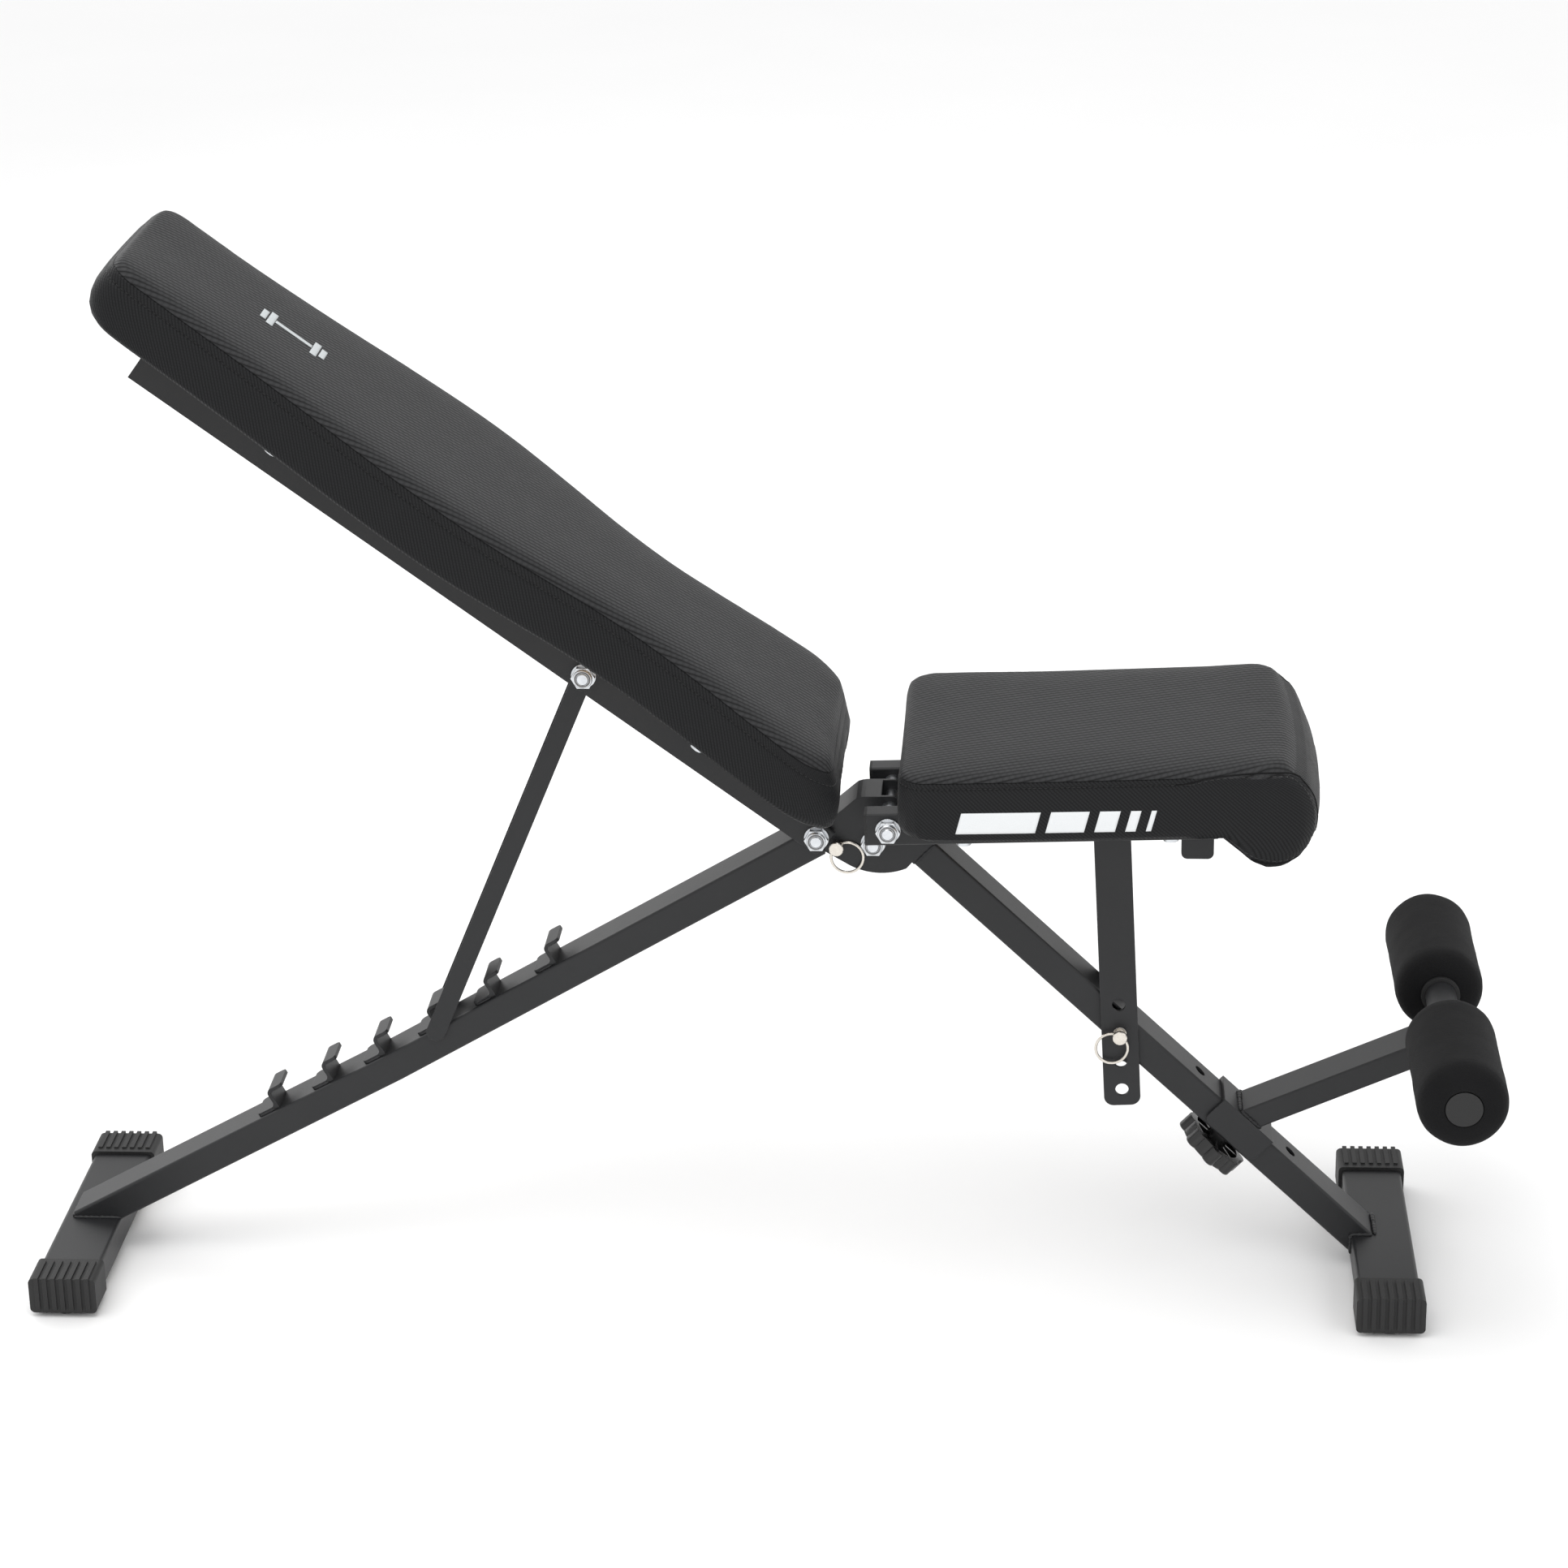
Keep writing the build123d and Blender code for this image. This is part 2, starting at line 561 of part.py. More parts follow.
# seat rails: two rectangular tubes with end caps, either side of the hinge bracket
RAIL_IN = 41.5
RAIL_OUT = 61.5
RAIL_H = 27.0
RAIL_ENDS = (-17.0, 260.0)
RAIL_MIDDLE = (RAIL_IN + RAIL_OUT) / 2
SEAT_SCREWS = [(u, side) for u in (60, 225) for side in (RAIL_MIDDLE, -RAIL_MIDDLE)]
SEAT_PLAN = Plane(origin=SEAT.origin, x_dir=SEAT.x_dir, z_dir=SEAT.y_dir)
rail_length = RAIL_ENDS[1] - RAIL_ENDS[0]
rail_centre = (RAIL_ENDS[1] + RAIL_ENDS[0]) / 2
for label, side in (("near", 1), ("far", -1)):
    with BuildPart() as rail:
        with BuildSketch(SEAT.offset(side * RAIL_IN)):
            with Locations((rail_centre, 0)):
                Rectangle(rail_length, RAIL_H)
        extrude(amount=side * (RAIL_OUT - RAIL_IN))
        fillet(rail.edges().filter_by(Axis(SEAT.origin, SEAT.x_dir)), 2)
        with BuildSketch(SEAT.offset(side * (RAIL_IN + TUBE_WALL))):
            with Locations((rail_centre, 0)):
                Rectangle(rail_length, RAIL_H - 2 * TUBE_WALL)
        extrude(amount=side * (RAIL_OUT - RAIL_IN - 2 * TUBE_WALL), mode=Mode.SUBTRACT)
        with BuildSketch(SEAT):
            Circle(PIVOT_HOLE_R)
        extrude(amount=80, both=True, mode=Mode.SUBTRACT)
        with BuildSketch(SEAT_PLAN.offset(-20)):
            with Locations(*SEAT_SCREWS):
                Circle(3.1)
        extrude(amount=40, mode=Mode.SUBTRACT)
    keep(rail, f"seat_rail_{label}")

with BuildPart() as rail_caps:
    for end, outward in ((RAIL_ENDS[0], -1), (RAIL_ENDS[1], 1)):
        for side in (RAIL_MIDDLE, -RAIL_MIDDLE):
            middle = SEAT.from_local_coords((end, 0, side))
            face = Plane(origin=middle, x_dir=(0, 1, 0), z_dir=SEAT.x_dir)
            with BuildSketch(face):
                RectangleRounded(RAIL_OUT - RAIL_IN, RAIL_H, 2.2)
            extrude(amount=outward * 2)
            with BuildSketch(face):
                Rectangle(RAIL_OUT - RAIL_IN - 2 * TUBE_WALL, RAIL_H - 2 * TUBE_WALL)
                Rectangle(12, 19, mode=Mode.SUBTRACT)
            extrude(amount=-outward * 10)
keep(rail_caps, "seat_rail_caps")

with BuildPart() as cross_tube:
    with BuildSketch(SIDE):
        with Locations(POST_TOP):
            Circle(9)
            Circle(6.5, mode=Mode.SUBTRACT)
    extrude(amount=RAIL_IN, both=True)
keep(cross_tube, "seat_cross_tube")

with BuildPart() as tabs:
    for side in (1, -1):
        with BuildSketch(SIDE.offset(side * (RAIL_IN - PLATE))):
            with Locations((385, 403)):
                RectangleRounded(26, 48, 5)
        extrude(amount=side * PLATE)
keep(tabs, "seat_front_tabs")

# seat pad: the nose turns down in front of the rails
SEAT_LOW = 13.8
BOARD_MIDDLE = 140.0
with BuildPart() as seat_pad:
    with BuildSketch(SEAT):
        with BuildLine():
            Polyline((9.6, 57.8), (9, 38), (9.5, 19.7), (13, 15.5), (20.4, SEAT_LOW), (267, SEAT_LOW))
            Polyline((267, SEAT_LOW), (277, 5.5), (287, -7), (297, -11.5))
            Polyline((297, -11.5), (309, -12.1), (321, -11), (330, -7.2))
            Polyline((330, -7.2), (338, 3), (342.6, 16.4), (343, 30))
            Polyline((343, 30), (341.3, 42.5), (335, 54), (325.9, 62.9))
            Polyline((325.9, 62.9), (315, 69), (304, 71.8), (264, 69.8), (63.9, 68.7), (21.9, 67.9))
            Polyline((21.9, 67.9), (13, 64.5), (9.6, 57.8))
        make_face()
    extrude(amount=125, both=True)
    with BuildSketch(SEAT_PLAN.offset(-30)):
        with BuildLine():
            Polyline((34, 125), (321, 125))
            RadiusArc((321, 125), (337, 109), 16)
            ThreePointArc((337, 109), (343, 0), (337, -109))
            RadiusArc((337, -109), (321, -125), 16)
            Polyline((321, -125), (34, -125))
            ThreePointArc((34, -125), (16.3, -117.7), (9, -100))
            Polyline((9, -100), (9, 100))
            ThreePointArc((9, 100), (16.3, 117.7), (34, 125))
        make_face()
    extrude(amount=120, mode=Mode.INTERSECT)
    with BuildSketch(SEAT_PLAN.offset(SEAT_LOW)):
        with Locations((BOARD_MIDDLE, 0)):
            Rectangle(230.6, 210.6)
    extrude(amount=BOARD + 0.3, mode=Mode.SUBTRACT)
keep(seat_pad, "seat_pad")

with BuildPart() as seat_board:
    with BuildSketch(SEAT_PLAN.offset(SEAT_LOW)):
        with Locations((BOARD_MIDDLE, 0)):
            Rectangle(230, 210)
        with Locations(*SEAT_SCREWS):
            Circle(3, mode=Mode.SUBTRACT)
    extrude(amount=BOARD)
keep(seat_board, "seat_board")

with BuildPart() as seat_screws:
    with BuildSketch(SEAT_PLAN.offset(-RAIL_H / 2)):
        with Locations(*SEAT_SCREWS):
            Circle(6)
    extrude(amount=-3.5)
    with BuildSketch(SEAT_PLAN.offset(-RAIL_H / 2)):
        with Locations(*SEAT_SCREWS):
            Circle(3)
    extrude(amount=RAIL_H + 9)
keep(seat_screws, "seat_pad_screws")

# seat post: two plates either side of the front leg, with a row of holes for the seat's pin
POST_IN = 20.3
POST_END = 259.0
POST_HOLES = [(POST_PIN + 25.5 * step, 0) for step in (-1, 0, 1, 2)]
with BuildPart() as post:
    for side in (1, -1):
        with BuildSketch(POST.offset(side * POST_IN)):
            with BuildLine():
                Polyline((0, 15), (POST_END - 8, 15))
                ThreePointArc((POST_END - 8, 15), (POST_END - 2.34, 12.66), (POST_END, 7))
                Polyline((POST_END, 7), (POST_END, -7))
                ThreePointArc((POST_END, -7), (POST_END - 2.34, -12.66), (POST_END - 8, -15))
                Polyline((POST_END - 8, -15), (0, -15))
                ThreePointArc((0, -15), (-15, 0), (0, 15))
            make_face()
            Circle(12.5, mode=Mode.SUBTRACT)
            with Locations(*POST_HOLES):
                Circle(5.5, mode=Mode.SUBTRACT)
        extrude(amount=side * PLATE)
keep(post, "seat_post_plates")

with BuildPart() as sleeve:
    with BuildSketch(POST):
        Circle(12.5)
        Circle(9.06, mode=Mode.SUBTRACT)
    extrude(amount=POST_IN + PLATE, both=True)
keep(sleeve, "seat_post_sleeve")

# leg-hold: a saddle over the front leg, an arm and the rollers' axle
HOLD_A = LEG_HOLES[1]
SADDLE_IN = 20.2
SADDLE_LOW = 374.0
SADDLE_TOP = 399.2
with BuildPart() as saddle:
    with BuildSketch(LEG):
        with Locations((HOLD_A, (SADDLE_LOW + SADDLE_TOP) / 2)):
            Rectangle(56, SADDLE_TOP - SADDLE_LOW)
    extrude(amount=SADDLE_IN + PLATE, both=True)
    with BuildSketch(LEG):
        with Locations((HOLD_A, SADDLE_TOP - PLATE - 20)):
            Rectangle(60, 40)
    extrude(amount=SADDLE_IN, both=True, mode=Mode.SUBTRACT)
    corners = saddle.edges().filter_by(Axis.Y).group_by(Axis(LEG.origin, LEG.y_dir))[0]
    fillet(corners, 6)
    with BuildSketch(Plane(origin=LEG.from_local_coords((HOLD_A, 390, 0)), z_dir=LEG.y_dir)):
        Circle(5.05)
    extrude(amount=20, mode=Mode.SUBTRACT)
keep(saddle, "leg_hold_saddle")

with BuildPart() as arm:
    with BuildSketch(ARM):
        with Locations((61, -10)):
            Rectangle(242, 20)
    extrude(amount=TUBE_W / 2, both=True)
    fillet(arm.edges().filter_by(Axis(ARM.origin, ARM.x_dir)), 2)
    with BuildSketch(ARM):
        with Locations((61, -10)):
            Rectangle(243, 16.4)
    extrude(amount=TUBE_W / 2 - 1.8, both=True, mode=Mode.SUBTRACT)
    with BuildSketch(LEG):
        with Locations((HOLD_A, SADDLE_TOP - 50)):
            Rectangle(200, 100)
    extrude(amount=40, both=True, mode=Mode.SUBTRACT)
    with BuildSketch(SIDE):
        with Locations(AXLE):
            Circle(AXLE_R)
    extrude(amount=40, both=True, mode=Mode.SUBTRACT)
keep(arm, "leg_hold_arm")

AXLE_HALF = 177.0
with BuildPart() as axle:
    with BuildSketch(SIDE):
        with Locations(AXLE):
            Circle(AXLE_R)
            Circle(AXLE_R - 1.5, mode=Mode.SUBTRACT)
    extrude(amount=AXLE_HALF, both=True)
keep(axle, "roller_axle")

ROLLER_IN = 40.0
ROLLER_OUT = 180.0
with BuildPart() as collars:
    for side in (1, -1):
        with BuildSketch(SIDE.offset(side * (ROLLER_IN - 0.4))):
            with Locations(AXLE):
                Circle(16)
                Circle(AXLE_R, mode=Mode.SUBTRACT)
        extrude(amount=-side * 3.6)
keep(collars, "roller_collars")

with BuildPart() as axle_caps:
    for side in (1, -1):
        with BuildSketch(SIDE.offset(side * AXLE_HALF)):
            with Locations(AXLE):
                Circle(14.6)
        extrude(amount=side * 2.8)
        with BuildSketch(SIDE.offset(side * AXLE_HALF)):
            with Locations(AXLE):
                Circle(AXLE_R - 1.5)
                Circle(8.5, mode=Mode.SUBTRACT)
        extrude(amount=-side * 14)
keep(axle_caps, "roller_axle_caps")

for label, side in (("near", 1), ("far", -1)):
    with BuildPart() as roller:
        with BuildSketch(SIDE.offset(side * ROLLER_IN)):
            with Locations(AXLE):
                Circle(ROLLER_R)
        extrude(amount=side * (ROLLER_OUT - ROLLER_IN))
        fillet(roller.edges(), 17)
        with BuildSketch(SIDE.offset(side * (ROLLER_IN - 1))):
            with Locations(AXLE):
                Circle(ROLLER_BORE)
        extrude(amount=side * 150, mode=Mode.SUBTRACT)
        with BuildSketch(SIDE.offset(side * (AXLE_HALF - 0.3))):
            with Locations(AXLE):
                Circle(15)
        extrude(amount=side * 10, mode=Mode.SUBTRACT)
    keep(roller, f"foam_roller_{label}")

# knob under the leg: hub, lobed cup and stud
KNOB_LOW = 349.0
KNOB = Plane(origin=LEG.from_local_coords((HOLD_A, KNOB_LOW, 0)), x_dir=(0, 1, 0), z_dir=LEG.y_dir)
with BuildPart() as knob:
    with BuildSketch(KNOB):
        Circle(27)
        with PolarLocations(24.5, 8):
            Circle(6.5)
    extrude(amount=14)
    fillet(knob.faces().sort_by(Axis(KNOB.origin, KNOB.z_dir))[0].edges(), 2)
    with BuildSketch(KNOB.offset(4)):
        Circle(23)
    extrude(amount=20, mode=Mode.SUBTRACT)
    with BuildSketch(KNOB):
        Circle(10)
    extrude(amount=LEG_LOW - KNOB_LOW - 0.3)
    with BuildSketch(KNOB.offset(4)):
        with PolarLocations(16.5, 8):
            Rectangle(15, 2.4)
        Circle(9, mode=Mode.SUBTRACT)
    extrude(amount=9)
    with BuildSketch(KNOB.offset(1)):
        Circle(5)
    extrude(amount=40, mode=Mode.SUBTRACT)
keep(knob, "leg_hold_knob")

with BuildPart() as stud:
    with BuildSketch(KNOB.offset(1)):
        Circle(5)
    extrude(amount=SADDLE_TOP - KNOB_LOW - 1.2)
keep(stud, "leg_hold_stud")

for piece in made:
    export_step(piece, f"parts/{piece.label}.step")
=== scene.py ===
"""Looks of an adjustable weight bench: sewn pads, foam rollers, welds, hardware details and finishes."""

import json
from math import cos, pi, radians, sin

import bpy
import numpy as np
from mathutils import Matrix, Vector, noise
from mathutils.bvhtree import BVHTree


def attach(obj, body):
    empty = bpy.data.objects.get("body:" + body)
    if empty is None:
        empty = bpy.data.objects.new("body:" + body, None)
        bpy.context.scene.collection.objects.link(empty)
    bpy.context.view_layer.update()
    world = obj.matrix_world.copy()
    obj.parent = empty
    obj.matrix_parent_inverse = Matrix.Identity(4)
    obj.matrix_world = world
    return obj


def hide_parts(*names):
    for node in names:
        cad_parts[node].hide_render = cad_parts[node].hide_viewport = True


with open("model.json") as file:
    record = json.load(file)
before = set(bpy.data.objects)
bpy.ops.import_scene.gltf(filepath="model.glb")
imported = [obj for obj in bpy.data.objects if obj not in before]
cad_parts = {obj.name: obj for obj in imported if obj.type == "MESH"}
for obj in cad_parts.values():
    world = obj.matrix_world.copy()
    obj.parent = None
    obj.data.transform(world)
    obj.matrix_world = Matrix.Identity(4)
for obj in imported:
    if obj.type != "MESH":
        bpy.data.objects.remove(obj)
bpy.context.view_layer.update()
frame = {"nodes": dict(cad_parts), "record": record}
scene = bpy.context.scene
MM = 0.001
SHIFT = -27.25            # from the middle between the feet to the part frame, in millimetres


# ---------------------------------------------------------------- materials
class Shader:
    """A material, with short calls that add nodes to it and join them."""

    def __init__(self, name, **constants):
        self.material = bpy.data.materials.new(name)
        self.material.use_nodes = True
        self.tree = self.material.node_tree
        self.bsdf = self.tree.nodes["Principled BSDF"]
        for socket, value in constants.items():
            self.bsdf.inputs[socket.replace("_", " ")].default_value = value
        self.place = self.add("ShaderNodeTexCoord", "Object")

    def put(self, socket, value):
        if isinstance(value, bpy.types.NodeSocket):
            self.tree.links.new(value, socket)
        elif value is not None:
            socket.default_value = value

    def add(self, kind, output, inputs=(), **settings):
        node = self.tree.nodes.new(kind)
        for name, value in settings.items():
            setattr(node, name, value)
        for name, value in dict(inputs).items():
            self.put(node.inputs[name], value)
        return node.outputs[output]

    def math(self, operation, first, second=None):
        return self.add("ShaderNodeMath", 0, {0: first, 1: second}, operation=operation)

    def noise(self, scale, detail=2.0, vector=None, roughness=0.5):
        inputs = {"Scale": scale, "Detail": detail, "Roughness": roughness, "Vector": vector or self.place}
        return self.add("ShaderNodeTexNoise", "Fac", inputs)

    def cells(self, scale):
        return self.add("ShaderNodeTexVoronoi", "Distance", {"Scale": scale, "Vector": self.place})

    def span(self, value, low, high, start=0.0, end=1.0):
        inputs = {"Value": value, "From Min": start, "From Max": end, "To Min": low, "To Max": high}
        return self.add("ShaderNodeMapRange", 0, inputs)

    def mix(self, share, first, second):
        """A colour between two plain colours."""
        return self.blend(share, (*first, 1), second)

    def blend(self, share, base, second):
        """A plain colour laid over the colour that a node gives."""
        inputs = {0: share, 6: base, 7: (*second, 1)}
        return self.add("ShaderNodeMix", 2, inputs, data_type="RGBA")

    def bump(self, height, distance, strength=1.0, normal=None):
        inputs = {"Height": height, "Distance": distance, "Strength": strength}
        if normal is not None:
            inputs["Normal"] = normal
        return self.add("ShaderNodeBump", 0, inputs)

    def edge_normals_and_highlight_mask(self, radius):
        """Rounded normals at the edges, and a mask that is 1 on them, used to paint a highlight along the
        edges.
        """
        soft = self.add("ShaderNodeBevel", 0, {"Radius": radius}, samples=4)
        flat = self.add("ShaderNodeNewGeometry", "Normal")
        dot = self.add("ShaderNodeVectorMath", "Value", {0: soft, 1: flat}, operation="DOT_PRODUCT")
        return soft, self.span(dot, 1.0, 0.0, 0.80, 0.98)

    def finish(self, colour=None, roughness=None, normal=None):
        for name, value in (("Base Color", colour), ("Roughness", roughness), ("Normal", normal)):
            self.put(self.bsdf.inputs[name], value)
        return self.material


def powder_coat():
    paint = Shader("powder_coat", Specular_IOR_Level=0.36)
    cloud = paint.noise(22, 4)
    peel = paint.noise(900, 3)
    soft, edge_highlight_mask = paint.edge_normals_and_highlight_mask(0.0011)
    # Painted highlight: the edges are mixed towards lighter grey, broken into patches by noise.
    patchy_edge_highlight = paint.math("MULTIPLY", edge_highlight_mask, paint.span(paint.noise(140, 3), 0.0, 0.85, 0.42, 0.62))
    colour = paint.mix(cloud, (0.012, 0.0125, 0.0135), (0.019, 0.0195, 0.021))
    colour = paint.blend(patchy_edge_highlight, colour, (0.07, 0.07, 0.073))
    roughness = paint.math("ADD", paint.span(cloud, 0.40, 0.48), paint.span(peel, -0.04, 0.04))
    return paint.finish(colour, roughness, paint.bump(peel, 0.00012, 0.55, soft))


def plated(name, light, dark, rough):
    steel = Shader(name, Metallic=1.0)
    stain = steel.noise(260, 4)
    scratch = steel.noise(1500, 2)
    soft, edge_highlight_mask = steel.edge_normals_and_highlight_mask(0.0005)
    # Painted highlight: every edge is mixed towards pale grey.
    colour = steel.blend(edge_highlight_mask, steel.mix(stain, dark, light), (0.9, 0.9, 0.9))
    roughness = steel.math("ADD", steel.span(stain, rough, rough + 0.14), steel.span(scratch, -0.03, 0.05))
    return steel.finish(colour, roughness, steel.bump(scratch, 0.00003, 0.5, soft))


def moulded(name, rough, grain_scale, grain_depth, shade):
    plastic = Shader(name, Specular_IOR_Level=0.45)
    grain = plastic.cells(grain_scale)
    cloud = plastic.noise(60, 3)
    soft, edge_highlight_mask = plastic.edge_normals_and_highlight_mask(0.0006)
    colour = plastic.mix(cloud, (shade, shade, shade), (shade * 1.35, shade * 1.35, shade * 1.38))
    # Painted highlight: the edges are mixed a third of the way towards lighter grey.
    colour = plastic.blend(plastic.math("MULTIPLY", edge_highlight_mask, 0.35), colour, (0.07, 0.07, 0.072))
    roughness = plastic.span(cloud, rough - 0.04, rough + 0.06)
    return plastic.finish(colour, roughness, plastic.bump(grain, grain_depth, 0.6, soft))


def weave(name, pitch, tick, lean, dark, light, depth):
    """Embossed vinyl: ribs that lean off the first UV axis, crossed by ticks that step from rib to rib."""
    vinyl = Shader(name, Specular_IOR_Level=0.16, Sheen_Weight=0.02, Sheen_Roughness=0.4)
    cloth = vinyl.add("ShaderNodeUVMap", 0, uv_map="Weave")
    split = vinyl.add("ShaderNodeSeparateXYZ", "X", {0: cloth}).node
    skewed = vinyl.math("ADD", split.outputs["Y"], vinyl.math("MULTIPLY", split.outputs["X"], lean))
    across = vinyl.math("DIVIDE", skewed, pitch)
    column = vinyl.math("FLOOR", across)
    rib = vinyl.math("SINE", vinyl.math("MULTIPLY", vinyl.math("FRACT", across), pi))
    shift = vinyl.math("MULTIPLY", column, 0.37)
    along = vinyl.math("ADD", vinyl.math("DIVIDE", split.outputs["X"], tick), shift)
    cross = vinyl.math("SINE", vinyl.math("MULTIPLY", vinyl.math("FRACT", along), pi))
    thread = vinyl.math("MULTIPLY", vinyl.math("POWER", rib, 0.7), vinyl.span(cross, 0.72, 1.0))
    crease = vinyl.noise(55, 5)
    skin = vinyl.noise(2600, 2)
    height = vinyl.math("ADD", thread, vinyl.math("MULTIPLY", skin, 0.18))
    # Painted shade and highlight: the colour follows the rib height, dark in the grooves and lighter on the
    # rib tops.
    colour = vinyl.mix(thread, dark, light)
    colour = vinyl.blend(vinyl.span(crease, 0.0, 0.35, 0.55, 0.85), colour, light)
    roughness = vinyl.math("ADD", vinyl.span(thread, 0.62, 0.50), vinyl.span(crease, -0.05, 0.06))
    broad = vinyl.bump(crease, 0.0006, 0.35)
    return vinyl.finish(colour, roughness, vinyl.bump(height, depth, 0.8, broad))


def cell_foam():
    foam = Shader("roller_cells", Specular_IOR_Level=0.12, Sheen_Weight=0.02, Sheen_Roughness=0.6)
    pores = foam.cells(1100)
    cloud = foam.noise(45, 4)
    colour = foam.mix(cloud, (0.004, 0.004, 0.0045), (0.010, 0.010, 0.0105))
    # Painted shade: the colour darkens in the pits of the pores.
    colour = foam.blend(foam.span(pores, 0.5, 0.0, 0.0, 0.35), colour, (0.004, 0.004, 0.004))
    soft = foam.bump(cloud, 0.0008, 0.4)
    return foam.finish(colour, foam.span(cloud, 0.78, 0.92), foam.bump(pores, 0.00035, 0.8, soft))


def plywood():
    wood = Shader("birch_ply", Specular_IOR_Level=0.35)
    stretch = wood.add("ShaderNodeVectorMath", 0, {0: wood.place, 1: (9, 160, 60)}, operation="MULTIPLY")
    grain = wood.noise(1.0, 5, stretch, 0.62)
    pores = wood.noise(420, 2)
    colour = wood.mix(grain, (0.30, 0.19, 0.10), (0.55, 0.40, 0.25))
    return wood.finish(colour, wood.span(grain, 0.62, 0.78), wood.bump(pores, 0.00015, 0.5))


def twisted_thread():
    thread = Shader("sewing_thread", Sheen_Weight=0.2, Sheen_Roughness=0.5)
    ply = thread.noise(3000, 2)
    colour = thread.mix(ply, (0.004, 0.004, 0.004), (0.018, 0.018, 0.018))
    return thread.finish(colour, thread.span(ply, 0.6, 0.8), thread.bump(ply, 0.0001, 0.7))


def screen_print(name, tone):
    ink = Shader(name, Specular_IOR_Level=0.4)
    speckle = ink.noise(1800, 3)
    low = tuple(t * 0.85 for t in tone)
    colour = ink.mix(speckle, low, tone)
    return ink.finish(colour, ink.span(speckle, 0.45, 0.6), ink.bump(speckle, 0.0001, 0.5))


PAINT = powder_coat()
ZINC = plated("zinc_plate", (0.80, 0.82, 0.84), (0.55, 0.57, 0.60), 0.24)
NICKEL = plated("nickel_plate", (0.80, 0.76, 0.70), (0.60, 0.56, 0.50), 0.20)
PLASTIC = moulded("matte_plastic", 0.60, 1300, 0.00012, 0.011)
GLOSSY = moulded("glossy_plastic", 0.22, 500, 0.00002, 0.012)
NYLON = moulded("nylon_insert", 0.45, 900, 0.00005, 0.16)
VINYL_TOP = weave(
    "vinyl_ribbed", pitch=0.0056, tick=0.0050, lean=-0.32,
    dark=(0.0015, 0.0015, 0.0017), light=(0.034, 0.0345, 0.036), depth=0.0006,
)
VINYL_SIDE = weave(
    "vinyl_twill", pitch=0.0034, tick=0.0034, lean=0.0,
    dark=(0.002, 0.002, 0.0023), light=(0.015, 0.0155, 0.0165), depth=0.0004,
)
FOAM = cell_foam()
PLY = plywood()
THREAD = twisted_thread()
PALE_INK = screen_print("pale_ink", (0.80, 0.82, 0.83))
GREY_INK = screen_print("grey_ink", (0.52, 0.55, 0.56))
FINISHES = {
    "frame_paint": PAINT,
    "zinc_steel": ZINC,
    "nickel_steel": NICKEL,
    "black_plastic": PLASTIC,
    "pad_vinyl": VINYL_SIDE,
    "plywood": PLY,
    "roller_foam": FOAM,
}

slot_of = {part["node"]: part["material_slot"] for part in frame["record"]["subparts"]}
body_of = {node: body for body, nodes in frame["record"]["behaviour"]["bodies"].items() for node in nodes}
for node, obj in frame["nodes"].items():
    finish = GLOSSY if node == "leg_hold_knob" else FINISHES[slot_of[node]]
    obj.data.materials.clear()
    obj.data.materials.append(finish)


# ---------------------------------------------------------------- mesh helpers
def add_mesh(name, points, faces, materials, smooth=True):
    mesh = bpy.data.meshes.new(name)
    mesh.from_pydata([tuple(p) for p in points], [], faces)
    for material in materials:
        mesh.materials.append(material)
    mesh.polygons.foreach_set("use_smooth", [smooth] * len(mesh.polygons))
    mesh.validate()
    mesh.update()
    obj = bpy.data.objects.new(name, mesh)
    scene.collection.objects.link(obj)
    return obj


def placed(obj, body):
    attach(obj, body)


def side_point(spot, y):
    """A point given in the side view, in millimetres from the middle between the feet."""
    return Vector((spot[0] + SHIFT, y, spot[1])) * MM


def smooth_loop(points, count):
    """Evenly spaced points on a closed Catmull-Rom curve."""
    pts = np.array(points, float)
    share = np.linspace(0, 1, 40, endpoint=False)[:, None]
    dense = []
    for i in range(len(pts)):
        a, b, c, d = (pts[(i + k) % len(pts)] for k in (-1, 0, 1, 2))
        curve = 2 * b + (c - a) * share + (2 * a - 5 * b + 4 * c - d) * share**2
        dense.append(0.5 * (curve + (3 * b - a - 3 * c + d) * share**3))
    dense = np.vstack(dense)
    return even_loop(dense, count)


def even_loop(points, count):
    closed = np.vstack([points, points[:1]])
    steps = np.linalg.norm(np.diff(closed, axis=0), axis=1)
    length = np.concatenate([[0], np.cumsum(steps)])
    wanted = np.linspace(0, length[-1], count, endpoint=False)
    return np.column_stack([np.interp(wanted, length, closed[:, k]) for k in range(points.shape[1])])


def tube(path, radius, sides, closed=False, ripple=None):
    """Points and faces of a round tube along a list of points; ripple scales the radius at each point."""
    path = [Vector(p) for p in path]
    count = len(path)
    points, faces = [], []
    for i, here in enumerate(path):
        before = path[i - 1] if closed or i > 0 else here
        after = path[(i + 1) % count] if closed or i < count - 1 else here
        ahead = (after - before).normalized()
        aside = ahead.cross(Vector((0.31, 0.27, 0.91))).normalized()
        above = ahead.cross(aside)
        here_radius = radius * (ripple[i] if ripple else 1)
        for k in range(sides):
            turn = 2 * pi * k / sides
            points.append(here + (aside * cos(turn) + above * sin(turn)) * here_radius)
    rows = count if closed else count - 1
    for i in range(rows):
        for k in range(sides):
            a, b = i * sides, ((i + 1) % count) * sides
            faces.append((a + k, a + (k + 1) % sides, b + (k + 1) % sides, b + k))
    if not closed:
        faces.append(tuple(reversed(range(sides))))
        faces.append(tuple(range((count - 1) * sides, count * sides)))
    return points, faces


